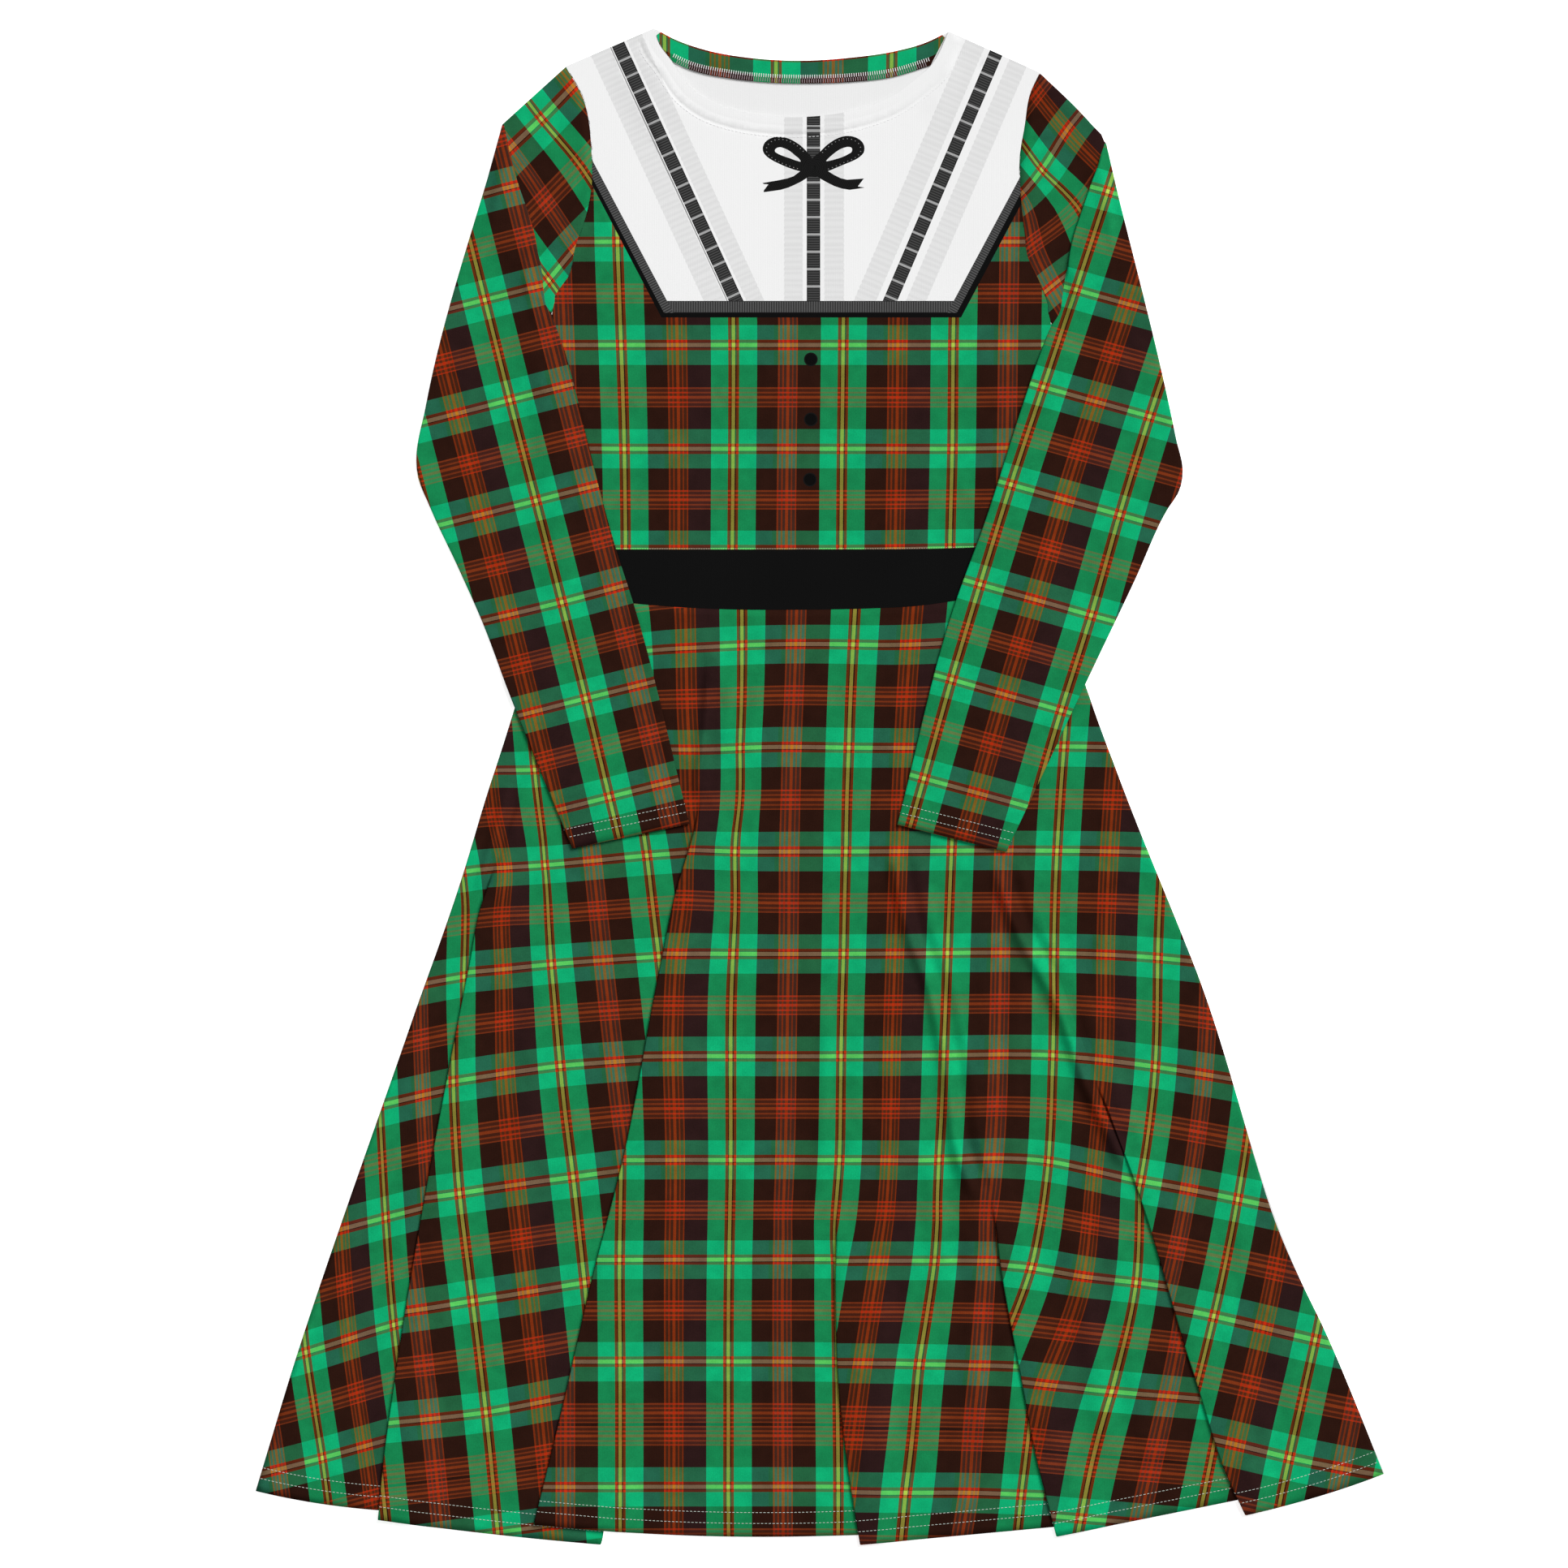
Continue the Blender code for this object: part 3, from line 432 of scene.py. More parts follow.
class Lattice:
    """Line numbers of the print at places in millimetres, smooth through the crosses."""

    def __init__(self, crosses):
        self.known = np.array([drawn(*cross[:2]) for cross in crosses]) / DECIMETRE
        count = len(crosses)
        terms = np.column_stack((np.ones(count), self.known))
        system = np.zeros((count + 3, count + 3))
        system[:count, :count] = self.bend(self.known) + SLACK * np.eye(count)
        system[:count, count:] = terms
        system[count:, :count] = terms.T
        wanted = np.zeros((count + 3, 2))
        wanted[:count] = [cross[2:] for cross in crosses]
        self.weights = np.linalg.solve(system, wanted)

    def bend(self, places):
        reach = np.hypot(places[:, None, 0] - self.known[None, :, 0],
                         places[:, None, 1] - self.known[None, :, 1])
        return reach * reach * np.log(reach + 1e-9)

    def at(self, places):
        places = np.asarray(places, float) / DECIMETRE
        flat = places.reshape(-1, 2)
        terms = np.column_stack((self.bend(flat), np.ones(len(flat)), flat))
        return (terms @ self.weights).reshape(places.shape)


MAPS = {name: Lattice(crosses) for name, crosses in LATTICES.items()}


def crease_lift(places):
    """Height that the creases and a slight unevenness add at places in millimetres."""
    places = np.asarray(places, float)
    flat = places.reshape(-1, 2)
    lift = np.array([0.4 * noise.noise(Vector((x * 0.011, y * 0.007, 3.1))) for x, y in flat])
    for crease, path, ways in CREASE_PATHS:
        off = flat[:, None, :] - path[None, :, :]
        nearest = (off ** 2).sum(axis=2).argmin(axis=1)
        off = off[np.arange(len(flat)), nearest]
        ahead = ways[nearest]
        along = nearest * CREASE_STEP + (off * ahead).sum(axis=1)
        side = (off[:, 0] * ahead[:, 1] - off[:, 1] * ahead[:, 0]) / crease.width
        start, end = [np.clip(run / (3 * crease.width), 0, 1)
                      for run in (along, (len(path) - 1) * CREASE_STEP - along)]
        fade = start * start * (3 - 2 * start) * end * end * (3 - 2 * end)
        swells = np.exp(-(side - 1.5) ** 2) + crease.second * np.exp(-(side + 1.5) ** 2)
        depth = min(0.3 * crease.height, 0.6)
        lift += fade * (crease.height * swells - depth * np.exp(-(side / 0.8) ** 2))
    return lift.reshape(places.shape[:-1])


def crease_paths():
    """Each crease with places at even steps along it and its direction there."""
    paths = []
    for crease in CREASES:
        crease = Crease(*crease)
        line = Line([drawn(*p) for p in crease.places])
        shares = np.arange(0.0, line.length, CREASE_STEP) / line.length
        paths.append((crease, np.array([line.at(s) for s in shares]),
                      np.array([line.along(s) for s in shares])))
    return paths


CREASE_PATHS = crease_paths()


# Colours and shaders

def grey(tone):
    return (tone, tone, tone)


def new_material(name, specular):
    made = bpy.data.materials.new(name)
    made.use_nodes = True
    shader = made.node_tree.nodes["Principled BSDF"]
    shader.inputs["Roughness"].default_value = 0.85
    shader.inputs["Specular IOR Level"].default_value = specular
    return made


class Nodes:
    """Short calls for building a node tree."""

    def __init__(self, made):
        self.tree = made.node_tree
        self.shader = self.tree.nodes["Principled BSDF"]

    def add(self, kind, **settings):
        node = self.tree.nodes.new(kind)
        for name, value in settings.items():
            setattr(node, name, value)
        return node

    def link(self, start, end):
        self.tree.links.new(start, end)

    def math(self, operation, first, second=None, third=None):
        node = self.add("ShaderNodeMath", operation=operation)
        for socket, value in zip(node.inputs, (first, second, third)):
            if value is None:
                continue
            if isinstance(value, (int, float)):
                socket.default_value = value
            else:
                self.link(value, socket)
        return node.outputs[0]

    def colours(self, kind, first, second, factor=1.0):
        node = self.add("ShaderNodeMix", data_type="RGBA", blend_type=kind)
        sockets = [s for s in node.inputs if s.type == "RGBA"]
        for socket, value in zip(sockets, (first, second)):
            if isinstance(value, tuple):
                socket.default_value = (*value, 1.0)
            else:
                self.link(value, socket)
        if isinstance(factor, (int, float)):
            node.inputs[0].default_value = factor
        else:
            self.link(factor, node.inputs[0])
        return [s for s in node.outputs if s.type == "RGBA"][0]

    def ramp(self, value, stops, interpolation="CONSTANT"):
        node = self.add("ShaderNodeValToRGB")
        ramp = node.color_ramp
        ramp.interpolation = interpolation
        ramp.elements[0].position = stops[0][0]
        ramp.elements[0].color = (*stops[0][1], 1.0)
        ramp.elements.remove(ramp.elements[1])
        for place, colour in stops[1:]:
            element = ramp.elements.new(place)
            element.color = (*colour, 1.0)
        self.link(value, node.inputs[0])
        return node.outputs["Color"]

    def places(self):
        uv = self.add("ShaderNodeUVMap", uv_map="print")
        split = self.add("ShaderNodeSeparateXYZ")
        self.link(uv.outputs[0], split.inputs[0])
        return split.outputs[0], split.outputs[1], uv.outputs[0]

    def clouds(self, place, scale, detail=2.0):
        node = self.add("ShaderNodeTexNoise")
        node.inputs["Scale"].default_value = scale
        node.inputs["Detail"].default_value = detail
        self.link(place, node.inputs["Vector"])
        return node.outputs[0]

    def finish(self, colour, normal):
        self.link(colour, self.shader.inputs["Base Color"])
        self.link(normal, self.shader.inputs["Normal"])


def knit_bump(nodes):
    """The knit's fine ribs and its slight unevenness, by place on the cloth."""
    place = nodes.add("ShaderNodeTexCoord").outputs["Object"]
    ribs = nodes.add("ShaderNodeTexWave", wave_type="BANDS", bands_direction="X")
    ribs.inputs["Scale"].default_value = 320.0
    ribs.inputs["Distortion"].default_value = 0.6
    ribs.inputs["Detail"].default_value = 1.0
    nodes.link(place, ribs.inputs["Vector"])
    grain = nodes.clouds(place, 900.0)
    bump = nodes.add("ShaderNodeBump")
    bump.inputs["Strength"].default_value = 0.5
    bump.inputs["Distance"].default_value = 0.00012
    nodes.link(nodes.math("ADD", nodes.math("MULTIPLY", ribs.outputs[1], 0.6),
                          nodes.math("MULTIPLY", grain, 0.8)), bump.inputs["Height"])
    return bump.outputs[0], grain, place


def sett_ramps(nodes, count, sett, threads, start):
    """The sett's dye, its hiding share and its glow, by the line number count."""
    total = sum(width for _, width in sett)
    place = nodes.math("FRACT", nodes.math("ADD", count, start / total))
    stops = [[], [], []]
    reach = 0.0
    for name, width in sett:
        thread = threads[name]
        for kind, colour in zip(stops, (thread.dye, grey(thread.hides), thread.glow)):
            kind.append((reach / total, colour))
        reach += width
    return [nodes.ramp(place, kind) for kind in stops]


def tartan_material():
    made = new_material("tartan_knit_print", 0.03)
    nodes = Nodes(made)
    u, v, _ = nodes.places()
    short = nodes.math("MULTIPLY", nodes.math("GREATER_THAN", v, SHORT_AT), SHORT_BY)
    v = nodes.math("SUBTRACT", v, short)
    warp, hides, warp_glow = sett_ramps(nodes, u, ACROSS_SETT, ACROSS_THREADS, YELLOW_IN_ACROSS)
    weft, weft_hides, weft_glow = sett_ramps(nodes, v, DOWN_SETT, DOWN_THREADS, YELLOW_IN_DOWN)
    weft = nodes.colours("MIX", weft, grey(0.0), hides)
    warp = nodes.colours("MIX", warp, grey(0.0), weft_hides)
    colour = nodes.colours("ADD", warp, weft)
    colour = nodes.colours("ADD", colour, nodes.colours("MULTIPLY", warp_glow, weft_glow))
    pair = nodes.math("FRACT", nodes.math("MULTIPLY", u, 0.5))
    # Faint tints between the stripes: on which count, from and to where on it,
    # what each adds anywhere and how much more it adds over green
    for count, low, high, plain, over_green in (
        (pair, 0.295, 0.41, (0.0, 0.0015, 0.0040), 0.02),
        (pair, 0.704, 0.794, (0.0, 0.0040, 0.0055), 0.16),
        (nodes.math("FRACT", u), 0.20, 0.37, grey(0.0), 0.08),
    ):
        within = nodes.math("MULTIPLY", nodes.math("GREATER_THAN", count, low),
                            nodes.math("LESS_THAN", count, high))
        seen = nodes.math("MULTIPLY", within, nodes.math("SUBTRACT", 1.0, hides))
        tint = nodes.colours("MULTIPLY", weft_glow, (0.0, over_green * 0.1, over_green))
        colour = nodes.colours("ADD", colour, nodes.colours("ADD", tint, plain), seen)
    normal, grain, place = knit_bump(nodes)
    mottle = nodes.math("ADD", nodes.math("MULTIPLY", nodes.clouds(place, 85.0, 5.0), 0.6),
                        nodes.math("MULTIPLY", grain, 0.4))
    tone = nodes.ramp(mottle, [(0.32, grey(0.82)), (0.66, grey(1.12))], "LINEAR")
    nodes.finish(nodes.colours("MULTIPLY", colour, tone), normal)
    return made


def plain_material(name, colour, shade, specular=0.15):
    """A plain knit whose tone drifts slightly between two colours."""
    made = new_material(name, specular)
    nodes = Nodes(made)
    normal, grain, place = knit_bump(nodes)
    drift = nodes.math("ADD", nodes.math("MULTIPLY", grain, 0.4),
                       nodes.math("MULTIPLY", nodes.clouds(place, 14.0), 0.6))
    nodes.finish(nodes.colours("MIX", shade, colour, drift), normal)
    return made


def ribbed_material(name, body, groove, rib, edge=None, bars=None, wander=0.8):
    """Printed ribbon or lace: print is (share across, millimetres along).

    rib is the spacing of its cross ribs and wander their unevenness, edge
    (from, colour) its rim beyond a share of its width from the middle and bars
    (spacing, width, colour) its crossbars.
    """
    made = new_material(name, 0.1)
    nodes = Nodes(made)
    u, v, place = nodes.places()
    turned = nodes.math("ADD", nodes.math("MULTIPLY", v, 2 * math.pi / rib),
                        nodes.math("MULTIPLY", nodes.clouds(place, 0.22), wander))
    tone = nodes.math("ADD", nodes.math("MULTIPLY", nodes.math("SINE", turned), 0.5), 0.5)
    colour = nodes.colours("MIX", groove, body, tone)
    if edge:
        off = nodes.math("ABSOLUTE", nodes.math("SUBTRACT", u, 0.5))
        colour = nodes.colours("MIX", colour, edge[1], nodes.math("GREATER_THAN", off, edge[0]))
    if bars:
        spacing, width, light = bars
        share = nodes.math("FRACT", nodes.math("ADD", nodes.math("DIVIDE", v, spacing),
                                               width / spacing / 2))
        colour = nodes.colours("MIX", colour, light, nodes.math(
            "LESS_THAN", share, width / spacing))
    normal, _, _ = knit_bump(nodes)
    nodes.finish(colour, normal)
    return made


MATERIALS = {}


def make_materials():
    MATERIALS["tartan"] = tartan_material()
    for kind, name, colour, shade, *specular in (
        ("yoke", "yoke_knit_print", grey(0.81), grey(0.775)),
        ("wrong_side", "knit_wrong_side", grey(0.78), grey(0.73)),
        ("black", "black_knit_plain", grey(0.0045), grey(0.0025), 0.05),
        ("thread", "needle_thread", (0.60, 0.66, 0.60), (0.50, 0.56, 0.50)),
        ("white_thread", "neck_thread", grey(0.80), grey(0.7)),
        ("overlock", "overlock_thread", (0.42, 0.36, 0.38), (0.22, 0.17, 0.19)),
        ("ladder_bar", "ladder_bar_print", grey(0.34), grey(0.30)),
        ("lace_line", "lace_edge_print", grey(0.34), grey(0.25)),
        ("border_edge", "border_edge_print", grey(0.004), grey(0.002), 0.05),
        ("bow_dot", "bow_dot_print", grey(0.34), grey(0.14)),
        ("button", "button_print", grey(0.004), grey(0.002), 0.03),
        ("button_rim", "button_rim_print", (0.009, 0.008, 0.008), grey(0.005), 0.03),
    ):
        MATERIALS[kind] = plain_material(name, colour, shade, *specular)
    for kind, name, body, groove, rib, options in (
        ("lace", "lace_print", 0.70, 0.655, 4.6, {"wander": 7.0}),
        ("ladder", "ladder_ribbon_print", 0.060, 0.012, 1.9,
         {"edge": (0.43, grey(0.012)), "bars": (13.45, 1.7, grey(0.33))}),
        ("border", "border_ribbon_print", 0.090, 0.018, 1.9, {"edge": (0.45, grey(0.012))}),
        ("bow", "bow_print", 0.009, 0.003, 2.2, {}),
    ):
        MATERIALS[kind] = ribbed_material(name, grey(body), grey(groove), rib, **options)


# Meshes

def add_cloth(name, points, faces, kinds, places, node=None, smooth=True):
    """A piece of cloth in millimetres. places holds each face's print corners."""
    data = bpy.data.meshes.new(name)
    data.from_pydata([tuple(MM * float(c) for c in p) for p in points], [], faces)
    used = sorted(set(kinds))
    for kind in used:
        data.materials.append(MATERIALS[kind])
    data.polygons.foreach_set("material_index", [used.index(kind) for kind in kinds])
    layer = data.uv_layers.new(name="print")
    flat = [c for corners in places for corner in corners for c in corner]
    layer.data.foreach_set("uv", flat)
    data.polygons.foreach_set("use_smooth", [smooth] * len(faces))
    data.update()
    piece = bpy.data.objects.new(name, data)
    bpy.context.scene.collection.objects.link(piece)
    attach(piece, "root")
    if node:
        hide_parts(node)
    return piece


def shell(name, middles, normals, closed, prints, node):
    """Thin printed cloth on both sides of a grid of middle points.

    closed joins the last column to the first. prints gives each row's cells
    the print places of the grid.
    """
    rows, columns = middles.shape[:2]
    count = rows * columns
    half = THIN / 2
    points = np.concatenate(((middles + half * normals).reshape(-1, 3),
                             (middles - half * normals).reshape(-1, 3)))
    faces, kinds, places = [], [], []
    pairs = [(c, (c + 1) % columns) for c in range(columns if closed else columns - 1)]

    def add(corners, kind, cell):
        faces.append(tuple(side * count + r * columns + c for r, c, side in corners))
        kinds.append(kind)
        places.append([tuple(prints(cell)[r, c]) for r, c, _ in corners])

    for row in range(rows - 1):
        for left, right in pairs:
            outer = [(row, left, 0), (row + 1, left, 0), (row + 1, right, 0), (row, right, 0)]
            add(outer, "tartan", row)
            # Both sides split along the same diagonal, or one pokes through the other
            add([(r, c, 1) for r, c, _ in outer[:1] + outer[:0:-1]], "wrong_side", row)
    for row in (0, rows - 1):
        for left, right in pairs:
            add([(row, left, 0), (row, right, 0), (row, right, 1), (row, left, 1)], "tartan",
                min(row, rows - 2))
    for column in () if closed else (0, columns - 1):
        for row in range(rows - 1):
            add([(row, column, 0), (row + 1, column, 0), (row + 1, column, 1),
                 (row, column, 1)], "tartan", row)
    piece = add_cloth(name, points, faces, kinds, places, node)
    tidy_normals(piece)
    return piece


def tidy_normals(piece):
    """Turns all of a closed piece's faces outwards."""
    work = bmesh.new()
    work.from_mesh(piece.data)
    bmesh.ops.recalc_face_normals(work, faces=work.faces)
    work.to_mesh(piece.data)
    work.free()


def inside(polygon, places):
    """Which of the places lie inside the polygon."""
    x, y = places[:, 0], places[:, 1]
    hit = np.zeros(len(places), bool)
    for (ax, ay), (bx, by) in zip(polygon, list(polygon[1:]) + [polygon[0]]):
        if ay == by:
            continue
        hit ^= ((ay > y) != (by > y)) & (x < ax + (y - ay) * (bx - ax) / (by - ay))
    return hit


def plain_place(p):
    return (p[0] * 0.01, p[1] * 0.01)


# A printed shape: its material, its outline, what gives its print places, its
# holes and the outline that it stays in
Patch = namedtuple("Patch", "kind outline place holes within",
                   defaults=(plain_place, (), None))


def flat_panel(name, outline, middle, spacing, ground, node, patches=(), lift=None,
               under="wrong_side", lines=()):
    """A flat piece of thin cloth, with printed patches cut into its mesh.

    ground is the material and print of its plain part, and lines are added
    open rows of points for its relief.
    """
    base = np.array([(float(p[0]), float(p[1])) for p in outline])
    loops = [base] + [np.array(shape, float) for patch in patches
                      for shape in (patch.outline, *patch.holes)]
    points, edges = [], []
    for line, last in [(loop, 0) for loop in loops] + [(line, 1) for line in lines]:
        first = len(points)
        points += [Vector(p) for p in line]
        edges += [(first + i, first + (i + 1) % len(line)) for i in range(len(line) - last)]
    low, high = base.min(axis=0), base.max(axis=0)
    levels = np.arange(low[1] + spacing / 2, high[1], spacing)
    grid = np.array([(x, y) for row, y in enumerate(levels) for x in np.arange(
        low[0] + spacing * (0.5 + 0.5 * (row % 2)), high[0], spacing)])
    points += [Vector(p) for p in grid[inside(base, grid)]]
    made = delaunay_2d_cdt(points, edges, [], 0, 0.02)
    verts = np.array([(v.x, v.y) for v in made[0]])
    triangles = np.array([f for f in made[2] if len(f) == 3])
    centres = verts[triangles].mean(axis=1)
    kept = inside(base, centres)
    triangles, centres = triangles[kept], centres[kept]
    kinds = [ground[0]] * len(triangles)
    prints = ground[1](verts)
    tops = [[tuple(prints[i]) for i in triangle] for triangle in triangles]
    for patch in patches:
        chosen = inside(np.array(patch.outline), centres)
        for hole in patch.holes:
            chosen &= ~inside(np.array(hole), centres)
        if patch.within is not None:
            chosen &= inside(np.array(patch.within), centres)
        for number in np.nonzero(chosen)[0]:
            kinds[number] = patch.kind
            tops[number] = [patch.place(verts[i]) for i in triangles[number]]
    count = len(verts)
    heights = middle + (lift(verts) if lift else np.zeros(count))
    solid = np.concatenate((np.column_stack((verts, heights + THIN / 2)),
                            np.column_stack((verts, heights - THIN / 2))))
    upper = [tuple(int(i) for i in t) for t in triangles]
    use = {}
    for triangle, kind, uvs in zip(upper, kinds, tops):
        for i, j in ((0, 1), (1, 2), (2, 0)):
            a, b = triangle[i], triangle[j]
            use.setdefault((min(a, b), max(a, b)), []).append((a, b, kind, uvs[i], uvs[j]))
    faces = upper + [tuple(i + count for i in triangle[::-1]) for triangle in upper]
    kinds += [under] * len(upper)
    places = tops + [uvs[::-1] for uvs in tops]
    for sides in use.values():
        if len(sides) == 1:
            a, b, kind, first, second = sides[0]
            faces.append((b, a, a + count, b + count))
            kinds.append(kind)
            places.append([second, first, first, second])
    piece = add_cloth(name, solid, faces, kinds, places, node, smooth=False)
    work = bmesh.new()
    work.from_mesh(piece.data)
    loose = [v for v in work.verts if not v.link_faces]
    bmesh.ops.delete(work, geom=loose, context="VERTS")
    bmesh.ops.recalc_face_normals(work, faces=work.faces)
    for face in work.faces:
        face.smooth = abs(face.normal.z) > 0.5
    for edge in work.edges:
        if len(edge.link_faces) == 2 and edge.calc_face_angle(0.0) > 1.0:
            edge.smooth = False
    work.to_mesh(piece.data)
    work.free()
    return piece


def distances(path):
    """How far along a path each of its points lies."""
    return np.concatenate(([0.0], np.cumsum(np.linalg.norm(np.diff(path, axis=0), axis=1))))


def between(place, reach, values):
    """Rows of values read at a place between those in reach."""
    return np.array([np.interp(place, reach, values[:, i]) for i in range(3)])


def add_stitches(name, rows, kind, slot, period, length, width, height=0.3):
    """Rows of short raised threads. A row is (points, ways up) on the cloth."""
    points, faces = [], []
    for path, ups in rows:
        path, ups = np.array(path), np.array(ups)
        reach = distances(path)
        place = period / 2
        while place < reach[-1] - period / 2:
            middle, up = between(place, reach, path), between(place, reach, ups)
            up = up / np.linalg.norm(up)
            way = between(place + 0.5, reach, path) - middle
            way = way - (way @ up) * up
            place += period
            if np.linalg.norm(way) < 1e-6:
                continue
            way = way / np.linalg.norm(way)
            side = np.cross(up, way)
            first = len(points)
            for level, share in ((0.0, 1.0), (height, 0.72)):
                for a, b in ((-1, -1), (1, -1), (1, 1), (-1, 1)):
                    points.append(middle + a * share * way * length / 2
                                  + b * share * side * width / 2 + level * up)
            faces.append(tuple(first + i for i in (4, 5, 6, 7)))
            faces += [(first + i, first + (i + 1) % 4, first + 4 + (i + 1) % 4, first + 4 + i)
                      for i in range(4)]
            faces.append(tuple(first + i for i in (3, 2, 1, 0)))
    places = [[(0.0, 0.0)] * 4 for _ in faces]
    piece = add_cloth(name, points, faces, [kind] * len(faces), places, smooth=False)
    tidy_normals(piece)


def on_front(places, lift):
    """One stitch row on the upper side of the front's cloth, which lift raises."""
    heights = lift(places) + FRONT_MID + THIN / 2 - SUNK
    return [(np.column_stack((places, heights)), [(0.0, 0.0, 1.0)] * len(places))]


# Skirt

def fold_profile(turn, tuck):
    """Section through a fold: (way, rise, lean) from its lower to its upper layer."""
    turn = max(turn, SLIGHTEST_TURN)
    radius = ROLL * math.pi / turn
    roll = [turn * i / ROLL_FACETS for i in range(ROLL_FACETS + 1)]
    section = [(radius * math.sin(a), radius * (1 - math.cos(a)), a) for a in roll]
    way = section[-1][0] + tuck * math.cos(turn)
    rise = section[-1][1] + tuck * math.sin(turn)
    for angle in roll[::-1]:
        section.append((way + radius * (math.sin(turn) - math.sin(angle)),
                        rise + radius * (math.cos(angle) - math.cos(turn)), angle))
    middle = section[-1][0] / 2
    shift = (tuck / 2 + ROLL) * (1 - math.cos(turn)) / 2 - middle
    return [(way + shift, rise, lean) for way, rise, lean in section]


def fold_at(fold, height):
    turn = math.pi * ease((fold.begins - height) / (fold.begins - fold.turned))
    below = max(fold.turned - height, 0.0) / (fold.turned - fold.hem_over)
    return fold_profile(turn, SHORTEST_TUCK + (fold.tuck - SHORTEST_TUCK) * below)


def skirt_columns(height):
    """(x, rise, lean, panel, share) once across the skirt's front."""
    sections = []
    for fold in FOLDS:
        edge = across_at(fold.edge, height)
        sections.append([(edge + way, rise, lean) for way, rise, lean in fold_at(fold, height)])
    columns = []
    left = across_at(LEFT_SIDE, height)
    for panel, section in enumerate(sections + [None]):
        right = section[0][0] if section else across_at(RIGHT_SIDE, height)
        if panel:
            before = sections[panel - 1]
            top = before[-1][1]
            start = max(before[0][0], before[-1][0]) + SETTLE_START
            columns += [(start + part * SETTLE_RUN, top * (1 - ease(part)), 0.0, panel, None)
                        for part in (0.0, 0.25, 0.5, 0.75, 1.0)]
            left = start + SETTLE_RUN
        count = PANEL_COLUMNS[panel]
        shares = [i / count for i in range(0 if panel == 0 else 1, count + (section is None))]
        columns += [(left + s * (right - left), 0.0, 0.0, panel, None) for s in shares]
        if section:
            columns += [(x, rise, lean, panel, place / (len(section) - 1))
                        for place, (x, rise, lean) in enumerate(section)]
    return columns


def hem_heights(columns):
    """Hem heights, straight through a fold and slightly dipped between folds."""
    starts = [HEM_LEFT] + [fold.hem_over for fold in FOLDS]
    ends = [fold.hem_under for fold in FOLDS] + [HEM_RIGHT]
    first = [columns[0][0]] + [c[0] for c in columns if c[4] == 1.0]
    last = [c[0] for c in columns if c[4] == 0.0] + [columns[-1][0]]
    heights = []
    for x, _, _, panel, share in columns:
        if share is not None:
            over, under = FOLDS[panel].hem_over, FOLDS[panel].hem_under
            heights.append(under + share * (over - under))
            continue
        part = (x - first[panel]) / (last[panel] - first[panel])
        level = starts[panel] + part * (ends[panel] - starts[panel])
        heights.append(level - PANEL_DIPS[panel] * 4 * part * (1 - part))
    return heights


def hem_row_of(columns):
    """Hem heights, with what a fold hides kept behind its upper layer."""
    heights = hem_heights(columns)
    for number, (x, _, _, panel, share) in enumerate(columns):
        if share is not None:
            upper = [(column[0], height) for column, height in zip(columns, heights)
                     if (column[3], column[4]) in ((panel, 1.0), (panel + 1, None))]
            over = np.interp(x, *zip(*upper)) + HIDDEN_HEM * (1 - ease((share - 0.6) / 0.4))
            heights[number] = over + (FOLDS[panel].hem_under - over) * (1 - ease(share / 0.4))
    return heights


def skirt_prints(middles, columns):
    """Print places of the skirt's front, mixed where no fold parts its panels."""
    maps = [MAPS[f"skirt_{panel}"].at(middles[..., :2]) for panel in range(len(FOLDS) + 1)]
    mixed = maps[0]
    for number, fold in enumerate(FOLDS):
        past = [0.0 if panel < number or (panel == number and share is None) else
                1.0 if panel > number else ease((share - 0.35) / 0.3)
                for _, _, _, panel, share in columns]
        share_past = np.tile(np.array(past), (len(middles), 1))
        for row, points in enumerate(middles):
            for column, (x, height, _) in enumerate(points):
                still_open = ease((height - fold.turned) / (fold.begins - fold.turned))
                if still_open > 0:
                    reach = OPEN_MIX * still_open
                    part = ease((x - across_at(fold.edge, height) + reach) / (2 * reach))
                    share_past[row, column] += still_open * (part - share_past[row, column])
        mixed = mixed + share_past[..., None] * (maps[number + 1] - maps[number])
    return mixed


def skirt_front():
    """The skirt's front, whose grid bends from the seam's line to the hem's."""
    look_down = 10.0
    top = [(c[0], height_at(SKIRT_SEAM, c[0])) for c in skirt_columns(SKIRT_TOP)]
    hem_row = skirt_columns(SKIRT_BOTTOM)
    hem = hem_row_of(hem_row)
    middles, normals = [], []
    for level in np.linspace(SKIRT_TOP, SKIRT_BOTTOM, SKIRT_ROWS):
        down = (SKIRT_TOP - level) / (SKIRT_TOP - SKIRT_BOTTOM)
        points, upright = [], []
        near = skirt_columns(level)
        below = skirt_columns(level - look_down)
        for number, place in enumerate(top):
            height = level + (place[1] - SEAM_CLEAR - SKIRT_TOP) * (1 - down)
            height += (hem[number] - SKIRT_BOTTOM) * down
            part = (level - height) / look_down
            x, rise, lean = [a + part * (b - a)
                             for a, b in zip(near[number][:3], below[number][:3])]
            points.append((x, height, FRONT_MID + max(rise, 0.0)))
            upright.append((-math.sin(lean), 0.0, math.cos(lean)))
        middles.append(points)
        normals.append(upright)
    middles = np.array(middles)
    normals = np.array(normals)
    prints = skirt_prints(middles, hem_row)
    middles[..., 2] += crease_lift(middles[..., :2])
    piece = shell("skirt_front_cloth", middles, normals, False, lambda row: prints,
                  "skirt_front")
    rows = [row_at(middles, normals, distance) for distance in SKIRT_HEM_STITCHES]
    add_stitches("skirt_hem_stitches", rows, "thread", "tartan_knit", *NEEDLE)


